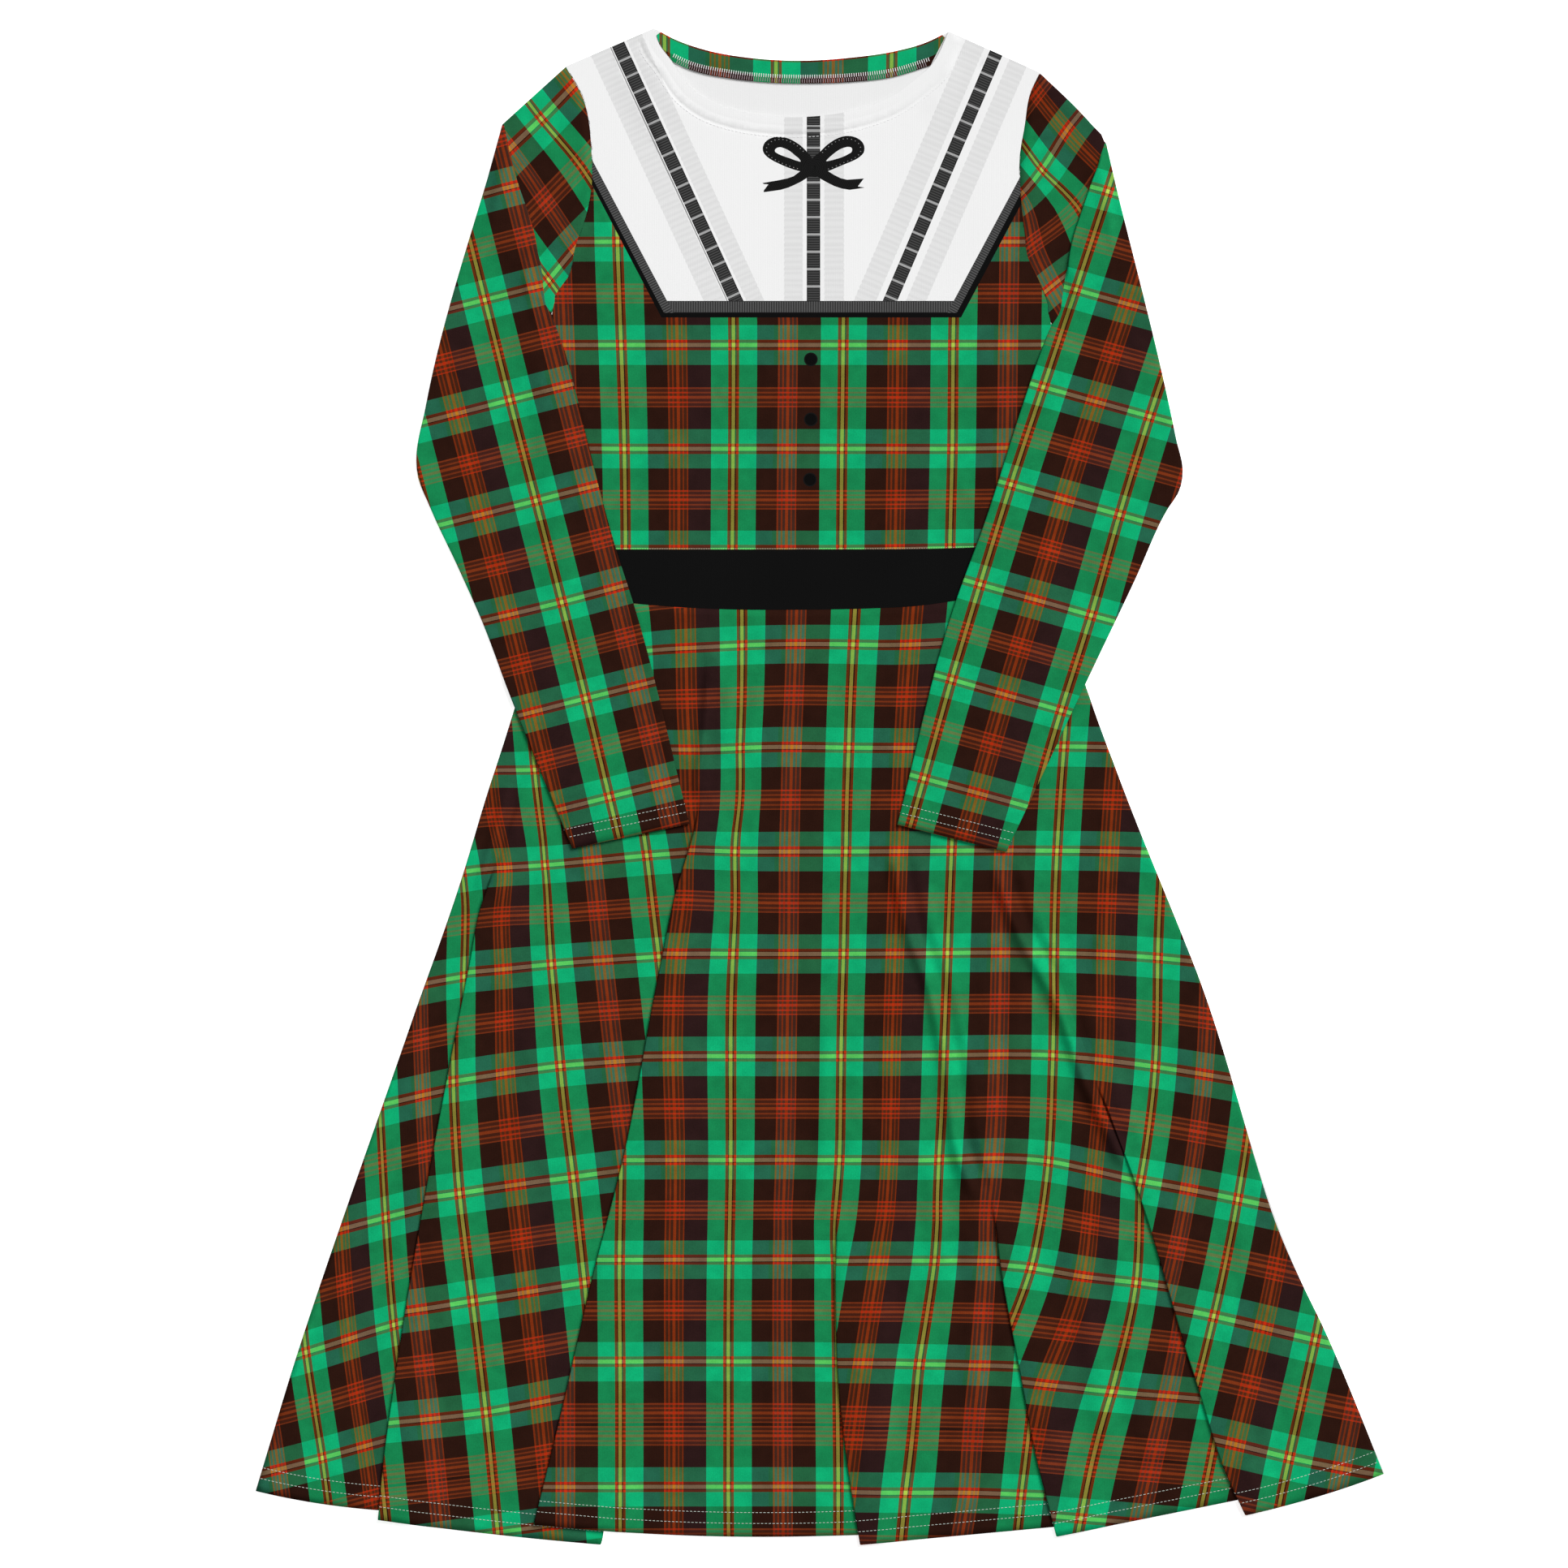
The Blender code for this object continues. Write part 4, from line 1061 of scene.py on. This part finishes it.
def row_at(middles, normals, distance):
    """A row on the outer side of the cloth at a distance from its last row."""
    path, ups = [], []
    for column in range(middles.shape[1]):
        line = middles[::-1, column]
        reach = distances(line)
        up = between(distance, reach, normals[::-1, column])
        path.append(between(distance, reach, line) + (THIN / 2 - 0.08) * up)
        ups.append(up)
    return path, ups


# Flat pieces

BODICE_ENDS = 184.0
SEAM_ENDS = (159.0, -189.0)


def bodice_outline(neck, lowest=0.0):
    """The bodice's outline, lowest being added to the waist seam's heights."""
    left_side, right_side = [[p for p in side if p[1] >= BODICE_ENDS]
                             for side in (LEFT_SIDE, RIGHT_SIDE)]
    outline = Line(left_side[::-1]).spread(40)[:-1]
    outline += Line(LEFT_ARMHOLE[::-1]).spread(60)[:-1]
    outline += [np.array(LEFT_ARMHOLE[0])]
    outline += Line(neck).spread(90)
    outline += Line(RIGHT_ARMHOLE).spread(60)
    outline += Line(right_side).spread(40)[1:-1]
    return outline + [p + np.array((0.0, lowest)) for p in Line(WAIST_SEAM[::-1]).spread(50)[:-1]]


def strip(start, end, width, offset=0.0, before=0.0):
    """Corners of a straight printed strip, in millimetres, and its print places.

    The strip lies offset to the right of the line from start to end, and
    begins before its start. Its print is counted from the start.
    """
    way = (end - start) / np.hypot(*(end - start))
    side = np.array((-way[1], way[0])) * width / 2
    middle = start + np.array((-way[1], way[0])) * offset

    def place(p):
        off = np.array(p) - middle
        return (0.5 + float(off @ side) / (2 * float(side @ side)), float(off @ way))

    first, last = middle - way * before, end + (middle - start)
    return [first + side, last + side, last - side, first - side], place


def scalloped(corners):
    """The outline of a strip with small uneven waves along its long sides."""
    first, last, far, near = corners
    outline = []
    for a, b, shift in ((first, last, 0.0), (far, near, 2.3)):
        length = np.hypot(*(b - a))
        way = (b - a) / length
        out = np.array((-way[1], way[0]))
        for reach in np.arange(0.0, length, 1.6):
            wave = 0.28 * math.sin(1.36 * reach + shift) + 0.18 * math.sin(2.3 * reach + 2 * shift)
            outline.append(a + reach * way + wave * out)
    return outline


# The printed bow, in drawing steps
BOW_LOOPS = (
    (
        (1000.3, 194.9), (993.9, 186.9), (987.5, 180.5), (979.5, 174.9), (971.5, 170.9),
        (963.5, 168.9), (955.4, 168.9), (948.2, 171.2), (942.6, 175.7), (939.9, 181.3),
        (940.5, 187.7), (945, 193.3), (952.2, 198.1), (961.9, 202.9), (971.5, 206.9),
        (981.1, 210.1), (989.1, 211.7), (997, 211),
    ),
    (
        (1001, 195.7), (1009.9, 187.7), (1017.1, 180.5), (1024.4, 174.9), (1032.4, 170.4),
        (1040.4, 168), (1049.2, 168.1), (1057.2, 170.9), (1062.8, 175.7), (1065.2, 182.1),
        (1064.1, 188.5), (1059.6, 193.3), (1051.6, 198.1), (1042, 202.1), (1032.4, 206.1),
        (1022.8, 210.1), (1014.7, 212.5), (1005, 211.7),
    ),
)
BOW_HOLES = (
    (
        (954.6, 185.3), (957.1, 182.6), (961.1, 181.6), (966.7, 183.2), (973.1, 186.4),
        (979.5, 191.7), (985.1, 196.5), (986.7, 199.2), (981.1, 198.1), (973.1, 195.2),
        (965.1, 192.5), (957.9, 189.3), (955, 187.2),
    ),
    (
        (1050, 185.3), (1049.7, 182.6), (1046, 181.3), (1040.4, 182.1), (1034, 184.8),
        (1027.6, 189.3), (1022, 194.1), (1017.9, 198.9), (1022.8, 198.1), (1030.8, 196),
        (1038.8, 193.3), (1045.2, 190.1), (1049.2, 187.4),
    ),
)
BOW_KNOT = (
    (993.9, 198.1), (1001.9, 194.9), (1009.9, 198.1), (1014.7, 203.7), (1015.5, 210.1),
    (1012.3, 216.5), (1005.1, 218.5), (995.5, 217.8), (989.9, 213.3), (988.3, 205.3),
)
BOW_TAILS = (
    (
        (984.3, 212.5), (977.9, 217.3), (969.9, 220.1), (960.3, 222.1), (950.6, 223.8),
        (939.4, 225.8), (941, 227.1), (946.8, 227.4), (941, 235), (941, 237.1), (950.6, 235.8),
        (961.9, 234.2), (971.5, 231.3), (979.5, 227.8), (987.5, 223.8), (993.9, 219.7),
        (997, 217.8), (1003, 216.8), (1003, 203), (991, 207.5),
    ),
    (
        (1021.2, 211.7), (1027.6, 215.7), (1035.6, 219.7), (1043.6, 221.7), (1053.2, 221),
        (1064.4, 220.1), (1057, 229.9), (1065.5, 231.3), (1056.4, 232.9), (1046.8, 234.2),
        (1037.2, 232.6), (1027.6, 229.4), (1019.6, 225.4), (1012.3, 221.3), (1007, 217.8),
        (1001, 216.8), (1001, 203), (1014, 206.5),
    ),
)
YOKE_INNER = (
    (690, -60), (690, 122.6), (729, 196), (822, 371), (1175, 371), (1258, 216), (1312, 115),
    (1312, -60),
)
BUTTONS = ((-7.2, 331.4), (-7.2, 284.8), (-7.9, 238.1))
BUTTON_RADIUS = 5.35
# Lace ribbons: where a crossbar lies on the middle line, where the line
# ends, and how far to either side its ruffles reach, in millimetres
Ribbon = namedtuple("Ribbon", "bar end ruffles")
RIBBONS = (
    Ribbon((770, 73.2), (907, 371), ((-22.8, -7.3), (7.3, 20))),
    Ribbon((1002.3, 161), (1002.3, 371), ((-22.75, -8.35), (8.45, 23.65))),
    Ribbon((1215.8, 92.4), (1096.5, 371), ((-25.9, -9.9), (11.4, 25.9))),
)
LADDER_WIDTH = 10.4
# The border round the yoke: its outer edge, then for each strip its outline
# and the two ends of its middle line, in drawing steps
YOKE_OUTER = ((690, 151.5), (690, -60), (1312, -60), (1312, 150.4), (1258, 252), (1184, 391.4),
              (815, 391.4), (730, 229))
BORDER_WIDTH = 9.2
BORDERS = (
    (((822, 371), (829.8, 385.6), (818.2, 385.6), (678.4, 122.6), (690, 122.6)),
     (684.2, 122.6), (824, 385.6)),
    (((1175, 371), (1167.2, 385.6), (1178.8, 385.6), (1323.6, 115), (1312, 115)),
     (1317.8, 115), (1173, 385.6)),
    (((822, 371), (829.8, 385.6), (1167.2, 385.6), (1175, 371)), (822, 378.3), (1175, 378.3)),
)


def smooth_loop(points, count):
    """A closed smooth loop through points in drawing steps, in millimetres."""
    places = [drawn(*p) for p in points]
    line = Line(places[-2:] + places + places[:3])
    shares = [(line.reach[2] + (line.reach[len(places) + 2] - line.reach[2]) * i / count)
              / line.length for i in range(count)]
    return [line.at(share) for share in shares]


def circle(centre, radius, count, squash=1.0):
    return [np.array(centre) + radius * np.array((math.cos(a), squash * math.sin(a)))
            for a in np.arange(count) * 2 * math.pi / count]


def yoke_patches():
    """The printed yoke, its border, lace ribbons, bow and buttons."""
    def shape(kind, points, place=plain_place):
        return Patch(kind, [drawn(*p) for p in points], place)

    yoke = [drawn(*p) for p in YOKE_INNER]
    patches = [shape("border_edge", YOKE_OUTER)]
    for points, start, end in BORDERS:
        _, place = strip(drawn(*start), drawn(*end), BORDER_WIDTH)
        patches.append(shape("border", points, place))
    patches.append(Patch("yoke", yoke))
    for ribbon in RIBBONS:
        start, end = drawn(*ribbon.bar), drawn(*ribbon.end)
        end = end + 12.0 * (end - start) / np.hypot(*(end - start))
        bands = [("lace", high - low, (low + high) / 2) for low, high in ribbon.ruffles]
        if ribbon is RIBBONS[0]:
            bands.append(("lace_line", 0.9, -LADDER_WIDTH / 2 - 1.0))
        for kind, width, offset in bands + [("ladder", LADDER_WIDTH, 0.0)]:
            corners, place = strip(start, end, width, offset, 45.0)
            outline = scalloped(corners) if kind == "lace" else corners
            patches.append(Patch(kind, outline, place, (), yoke))
    # Two more bars on the middle ribbon, where the neck's hem is stitched
    for y, height in ((154.6, 1.2), (160.8, 1.5)):
        left, top = drawn(994.1, y)
        right, low = -10.34 - left, top - height
        patches.append(Patch("ladder_bar", [(left, top), (right, top), (right, low), (left, low)]))
    centre = drawn(1002, 205)

    def braided(p):
        off = np.array(p) - centre
        return (0.5, float(np.hypot(*off)) * 1.6 + 2.0 * math.atan2(off[1], abs(off[0])))

    patches += [shape("bow", tail, braided) for tail in BOW_TAILS]
    for loop, hole in zip(BOW_LOOPS, BOW_HOLES):
        rim, opening = smooth_loop(loop, 56), smooth_loop(hole, 36)
        patches.append(Patch("bow", rim, braided, (opening,)))
        heart = np.mean(opening, axis=0)
        for place in rim[::2]:
            place = place + 0.15 * (heart - place)
            if np.hypot(*(place - centre)) >= 11.0:
                patches.append(Patch("bow_dot", circle(place, 0.5, 4, 0.8)))
    patches.append(shape("bow", BOW_KNOT, braided))
    for place in BUTTONS:
        patches.append(Patch("button_rim", circle(place, BUTTON_RADIUS, 24)))
        patches.append(Patch("button", circle(place, BUTTON_RADIUS - 0.9, 24)))
    return patches


# Distances from the neck's edge: the lines of its turned hem's relief, its two
# grooves and its row of stitches
NECK_HEM = (1.0, 5.8, 6.6, 7.4, 12.4, 13.4, 14.4)
NECK_FOLD = 6.6
NECK_TURN = 13.4
NECK_ROW = 15.6


def off_neck(distance, count=110):
    """A row of places on the front at a distance from the neck's edge."""
    line = Line(FRONT_NECK)
    places = []
    for i in range(count):
        share = i / (count - 1)
        way = line.along(share)
        places.append(line.at(share) + distance * np.array((way[1], -way[0])))
    return places


def front_relief(places):
    """The creases, and the neck's turned hem with its stitched groove."""
    edge = np.array(Line(FRONT_NECK).spread(160))
    away = np.concatenate([np.hypot(part[:, None, 0] - edge[None, :, 0],
                                    part[:, None, 1] - edge[None, :, 1]).min(axis=1)
                           for part in np.array_split(places, len(places) // 4000 + 1)])
    double = 0.3 * np.clip((NECK_TURN - away) / 1.4, 0, 1)
    groove = 0.3 * np.exp(-((away - NECK_TURN) / 0.8) ** 2)
    groove += 0.1 * np.exp(-((away - NECK_FOLD) / 0.9) ** 2)
    return crease_lift(places) + double - groove


def neck_print(places):
    """Print places of the strip at the back neck, which follows its curve."""
    made = MAPS["neck"].at(places)
    falls = [(height_at(BACK_NECK, x) - y) / STEP for x, y in places]
    made[:, 1] = (np.array(falls) + 4.5) / sum(width for _, width in DOWN_SETT)
    return made


def bodice():
    piece = flat_panel("bodice_front_cloth", bodice_outline(FRONT_NECK), FRONT_MID, 5.0,
                       ("tartan", MAPS["bodice"].at), "bodice_front",
                       yoke_patches(), front_relief, lines=[off_neck(d)[3:-3] for d in NECK_HEM])
    piece = flat_panel("bodice_back_cloth", bodice_outline(BACK_NECK, 0.6), BACK_MID, 14.0,
                       ("wrong_side", MAPS["bodice"].at), "bodice_back",
                       under="tartan")
    add_stitches("neck_hem_stitches", on_front(np.array(off_neck(NECK_ROW)[4:-4]), front_relief),
                 "white_thread", "yoke_knit", *NEEDLE)


def neck_turning():
    """The back neck's turned edge inside the neck opening, and its overlock."""
    clear = 0.6
    corner = 4.0
    upper = [p for p in Line(BACK_NECK).spread(80)
             if FRONT_NECK[0][0] + corner < p[0] < FRONT_NECK[-1][0] - corner]
    lower = Line(NECK_TURNING_EDGE[::-1]).spread(70)
    left_end = [p for p in Line(FRONT_NECK[:3]).spread(12) if lower[-1][1] < p[1] < upper[0][1]]
    right_end = [p for p in Line(FRONT_NECK[-2:]).spread(12)
                 if lower[0][1] < p[1] < upper[-1][1]]
    outline = upper + [(p[0] - clear, p[1]) for p in right_end[::-1]] + lower
    outline += [(p[0] + clear, p[1]) for p in left_end[::-1]]
    piece = flat_panel("neck_turning_cloth", outline, FRONT_MID, 6.0, ("tartan", neck_print),
                       "neck_turning")
    for name, offset, kind, length in (("neck_overlock", 1.9, "overlock", 0.6),
                                       ("neck_overlock_top", 5.2, "white_thread", 0.7)):
        edge = np.array([p + np.array((0.0, offset)) for p in lower[::-1]
                         if p[1] + offset > height_at(FRONT_NECK, p[0]) + corner])
        rows = on_front(edge, lambda places: np.zeros(len(places)))
        add_stitches(name, rows, kind, "tartan_knit", 1.8, length, 3.2)


def waistband():
    for name, middle, lift, over in (("waistband_front", FRONT_MID, crease_lift, 0.0),
                                     ("waistband_back", BACK_MID, None, 0.5)):
        upper = [(p[0], p[1] + over - 0.05) for p in Line(WAIST_SEAM).spread(60)]
        lower = [(x, height_at(SKIRT_SEAM, x) - over) for x in np.linspace(*SEAM_ENDS, 90)]
        piece = flat_panel(name + "_cloth", upper + lower, middle, 7.0,
                           ("black", lambda places: places * 0.01), name,
                           lift=lift, under="black")
    seam = np.array([p + np.array((0.0, 0.5)) for p in Line(WAIST_SEAM).spread(120)])
    add_stitches("waist_stitches", on_front(seam, crease_lift), "thread", "black_knit",
                 1.9, 1.0, 0.25, 0.2)


def skirt_back():
    """The skirt's back, whose hem is a plain dip inside the front's."""
    left_x, right_x = across_at(LEFT_SIDE, HEM_LEFT), across_at(RIGHT_SIDE, HEM_RIGHT)
    dip = (DRESS_LENGTH - LAYER) / 2 + (HEM_LEFT + HEM_RIGHT) / 2
    outline = [(across_at(LEFT_SIDE, h), h) for h in np.linspace(147.0, HEM_LEFT, 60)[1:]]
    outline += [(left_x + share * (right_x - left_x), HEM_LEFT + share * (HEM_RIGHT - HEM_LEFT)
                 - dip * (1 - (2 * share - 1) ** 2) + BACK_HEM_INSET)
                for share in np.linspace(0.0, 1.0, 60)[1:-1]]
    outline += [(across_at(RIGHT_SIDE, h), h) for h in np.linspace(HEM_RIGHT, 152.0, 60)[:-1]]
    outline += [(x, height_at(SKIRT_SEAM, x) - 0.6) for x in np.linspace(*SEAM_ENDS, 60)]
    piece = flat_panel("skirt_back_cloth", outline, BACK_MID, 16.0,
                       ("wrong_side", MAPS["skirt_2"].at), "skirt_back",
                       under="tartan")


# Sleeves

def body_rise(sleeve, place):
    """How high the body lifts a sleeve at a place."""
    points = LEFT_SIDE if sleeve.side < 0 else RIGHT_SIDE
    height = min(max(place[1], points[-1][1]), points[0][1])
    outside = sleeve.side * (place[0] - across_at(points, height))
    onto = ease((RISE_START - outside) / (RISE_START - RISE_END))
    return BODY_HEIGHT * onto * ease((sleeve.clear - place[1]) / (sleeve.clear - sleeve.settled))


def fanned(share):
    """A share across the sleeve, drawn towards its outer edge below the fold."""
    return share - FAN_OUT * share * share * (1 - share)


def clear_share(line, share):
    inset = EDGE_INSET / line.length
    return inset + share * (1 - 2 * inset)


def between_rolls(line, share):
    return line.at(clear_share(line, share))


def outward(side, line, share):
    way = line.along(share)
    return side * np.array((-way[1], way[0]))


def swing(first, last, part):
    """A direction turned from the first towards the last by a part of the way."""
    turned = math.atan2(first[0] * last[1] - first[1] * last[0], float(first @ last))
    angle = math.atan2(first[1], first[0]) + part * turned
    return np.array((math.cos(angle), math.sin(angle), 0.0))


def ring(front, back, front_normals, ways):
    """Points and normals once round a sleeve, rolled at both of its edges."""
    points = [np.array(p) for p in front]
    normals = [np.array(n) for n in front_normals]
    up = np.array((0.0, 0.0, 1.0))
    angles = [math.pi / 2 - math.pi * i / ROLL_FACETS for i in range(1, ROLL_FACETS)]

    def roll(upper, lower, way, order):
        for angle in order:
            aim = math.cos(angle) * way + math.sin(angle) * up
            points.append((upper + lower) / 2 + (upper[2] - lower[2]) / 2 * aim)
            normals.append(aim)

    roll(np.array(front[-1]), np.array(back[-1]), ways[1], angles)
    for place in back[::-1]:
        points.append(np.array(place))
        normals.append(-up)
    roll(np.array(front[0]), np.array(back[0]), ways[0], angles[::-1])
    return points, normals


def add_sleeve(sleeve):
    """A sleeve as rings: its cap, the fold over the shoulder, then its lower part."""
    seam, cap_edge, fold, outer, inner = [Line(points) for points in (
        sleeve.armhole, sleeve.cap_edge, sleeve.fold, sleeve.outer, sleeve.inner)]
    fold_ways = (outward(sleeve.side, cap_edge, 1.0) + outward(sleeve.side, outer, 0.0),
                 -outward(sleeve.side, inner, 0.0))

    def cap_place(step, share):
        part = step / CAP_STEPS
        away = outward(sleeve.side, seam, clear_share(seam, share))
        start = between_rolls(seam, share) - CAP_LAP * away
        end = between_rolls(fold, share)
        straight = cap_edge.at(0.0) + part * (cap_edge.at(1.0) - cap_edge.at(0.0))
        return start + part * (end - start) + (1 - share) * (cap_edge.at(part) - straight)

    def lower_place(station, share):
        start = outer.at(station) - EDGE_INSET * outward(sleeve.side, outer, station)
        end = inner.at(station) + EDGE_INSET * outward(sleeve.side, inner, station)
        return start + share * (end - start)

    rings, ring_normals, lower = [], [], []

    def lay(places, unders, rises, normals, ways, is_lower):
        seam_share = max(1 - len(rings) / 4, 0.0)
        lifts = crease_lift(places)
        front = []
        for share, place, rise, lift in zip(ACROSS, places, rises, lifts):
            lift *= max(math.sin(math.pi * share), seam_share)
            front.append((*place, FRONT_MID + rise + lift + body_rise(sleeve, place)))
        back = [(*place, BACK_MID + body_rise(sleeve, place)) for place in unders]
        points, directions = ring(front, back, normals, ways)
        rings.append(points)
        ring_normals.append(directions)
        lower.append(is_lower)

    upright = [(0.0, 0.0, 1.0)] * len(ACROSS)
    flat = [0.0] * len(ACROSS)
    for step in range(CAP_STEPS):
        places = [cap_place(step, share) for share in ACROSS]
        part = step / CAP_STEPS
        ways = (swing(-seam.along(0.0), fold_ways[0], part),
                swing(seam.along(1.0), fold_ways[1], part))
        lay(places, places, flat, upright, ways, False)

    sections = []
    for share in ACROSS:
        within = min(share, TUCK_ENDS - share)
        deeper = ease((within - TUCK_FADE) / TUCK_GROWS)
        tuck = SHORTEST_TUCK + (SHOULDER_TUCK - SHORTEST_TUCK) * deeper
        sections.append(fold_profile(math.pi * ease(within / TUCK_FADE), tuck))
    flat_ways = [entry[0] for entry in fold_profile(0.0, SHORTEST_TUCK)]
    ways = [swing(way, way, 0.0) for way in fold_ways]
    for index, flat_way in enumerate(flat_ways):
        places, unders, rises, normals = [], [], [], []
        for section, share in zip(sections, ACROSS):
            base = between_rolls(fold, share)
            blend = ease(min(share, TUCK_ENDS - share) / TUCK_FADE)
            edges = (base - cap_place(CAP_STEPS - 3, share),
                     lower_place(FOLD_STATION, fanned(share)) - base)
            across = outward(sleeve.side, fold, share)
            before, after = [swing(edge, across, blend)[:2] for edge in edges]
            squeeze = 1 - (1 - UNDERARM_SQUEEZE) * ease((share - TUCK_ENDS) / (1 - TUCK_ENDS))
            way, rise, lean = section[index]
            places.append(base + squeeze * way * (after if way > 0 else before))
            unders.append(base + squeeze * flat_way * (after if flat_way > 0 else before))
            rises.append(rise)
            normals.append((*(-math.sin(lean) * after), math.cos(lean)))
        lay(places, unders, rises, normals, ways, index >= ROLL_FACETS)

    tops = [section[-1][1] for section in sections]
    for number in range(LOWER_STATIONS):
        station = FOLD_STATION + (1 - FOLD_STATION) * number / (LOWER_STATIONS - 1)
        settled = ease(station / UNFANNED_STATION)
        shares = [fanned(a) + settled * (a - fanned(a)) for a in ACROSS]
        places = [lower_place(station, share) for share in shares]
        lift = 1 - ease((station - FOLD_STATION) / LAYERS_SINK)
        ways = (np.append(outward(sleeve.side, outer, station), 0.0),
                np.append(-outward(sleeve.side, inner, station), 0.0))
        lay(places, places, [lift * top for top in tops], upright, ways, True)
    middles, normals = np.array(rings), np.array(ring_normals)
    cap = MAPS[sleeve.name.replace("sleeve", "cap")].at(middles[..., :2])
    rest = MAPS[sleeve.name].at(middles[..., :2])
    piece = shell(sleeve.name + "_cloth", middles, normals, True,
                  lambda row: rest if lower[row] else cap, sleeve.name)
    round_it = [np.concatenate((grid, grid[:, :1]), axis=1) for grid in (middles, normals)]
    rows = [row_at(*round_it, distance) for distance in CUFF_STITCHES]
    add_stitches(sleeve.name + "_hem_stitches", rows, "thread", "tartan_knit", *NEEDLE)


# Scene

def set_stage():
    floor = bpy.data.meshes.new("floor")
    reach = 60.0
    floor.from_pydata([(reach * x, reach * y, -0.0001)
                       for x, y in ((-1, -1), (1, -1), (1, 1), (-1, 1))], [], [(0, 1, 2, 3)])
    piece = bpy.data.objects.new("floor", floor)
    bpy.context.scene.collection.objects.link(piece)
    made = bpy.data.materials.new("pale_floor")
    made.use_nodes = True
    shader = made.node_tree.nodes["Principled BSDF"]
    shader.inputs["Base Color"].default_value = (*grey(0.93), 1.0)
    shader.inputs["Roughness"].default_value = 0.9
    shader.inputs["Emission Color"].default_value = (*grey(1.0), 1.0)
    shader.inputs["Emission Strength"].default_value = 0.6
    floor.materials.append(made)


def set_lights():
    for name, kind, place, size, power in (
        ("key", "SUN", (1.1, 1.2, 1.5), 0.55, 3.35),
        ("fill", "AREA", (-2.4, 1.0, 3.4), 3.0, 14.0),
        ("top", "AREA", (0.0, 0.0, 4.2), 4.0, 24.0),
    ):
        lamp = bpy.data.lights.new(name, kind)
        lamp.energy = power
        if kind == "SUN":
            lamp.angle = size
        else:
            lamp.size = size
        holder = bpy.data.objects.new(name, lamp)
        holder.location = place
        holder.rotation_euler = Vector(place).to_track_quat("Z", "Y").to_euler()
        bpy.context.scene.collection.objects.link(holder)
    world = bpy.data.worlds.new("studio")
    world.use_nodes = True
    sky = world.node_tree.nodes["Background"]
    sky.inputs["Color"].default_value = (*grey(1.0), 1.0)
    sky.inputs["Strength"].default_value = 0.23
    bpy.context.scene.world = world
    bpy.context.scene.view_settings.view_transform = "Standard"


def set_camera():
    lens = bpy.data.cameras.new("camera")
    lens.lens = 200.0
    lens.sensor_width = 36.0
    lens.clip_end = 200.0
    width = DRAWING_SIDE * STEP * MM
    holder = bpy.data.objects.new("camera", lens)
    middle = drawn(DRAWING_SIDE / 2, DRAWING_SIDE / 2)
    holder.location = (MM * middle[0], MM * middle[1], width * lens.lens / lens.sensor_width)
    bpy.context.scene.collection.objects.link(holder)
    bpy.context.scene.camera = holder


make_materials()
set_camera()
bodice()
neck_turning()
waistband()
skirt_front()
skirt_back()
for made_sleeve in SLEEVES:
    add_sleeve(made_sleeve)
set_stage()
set_lights()
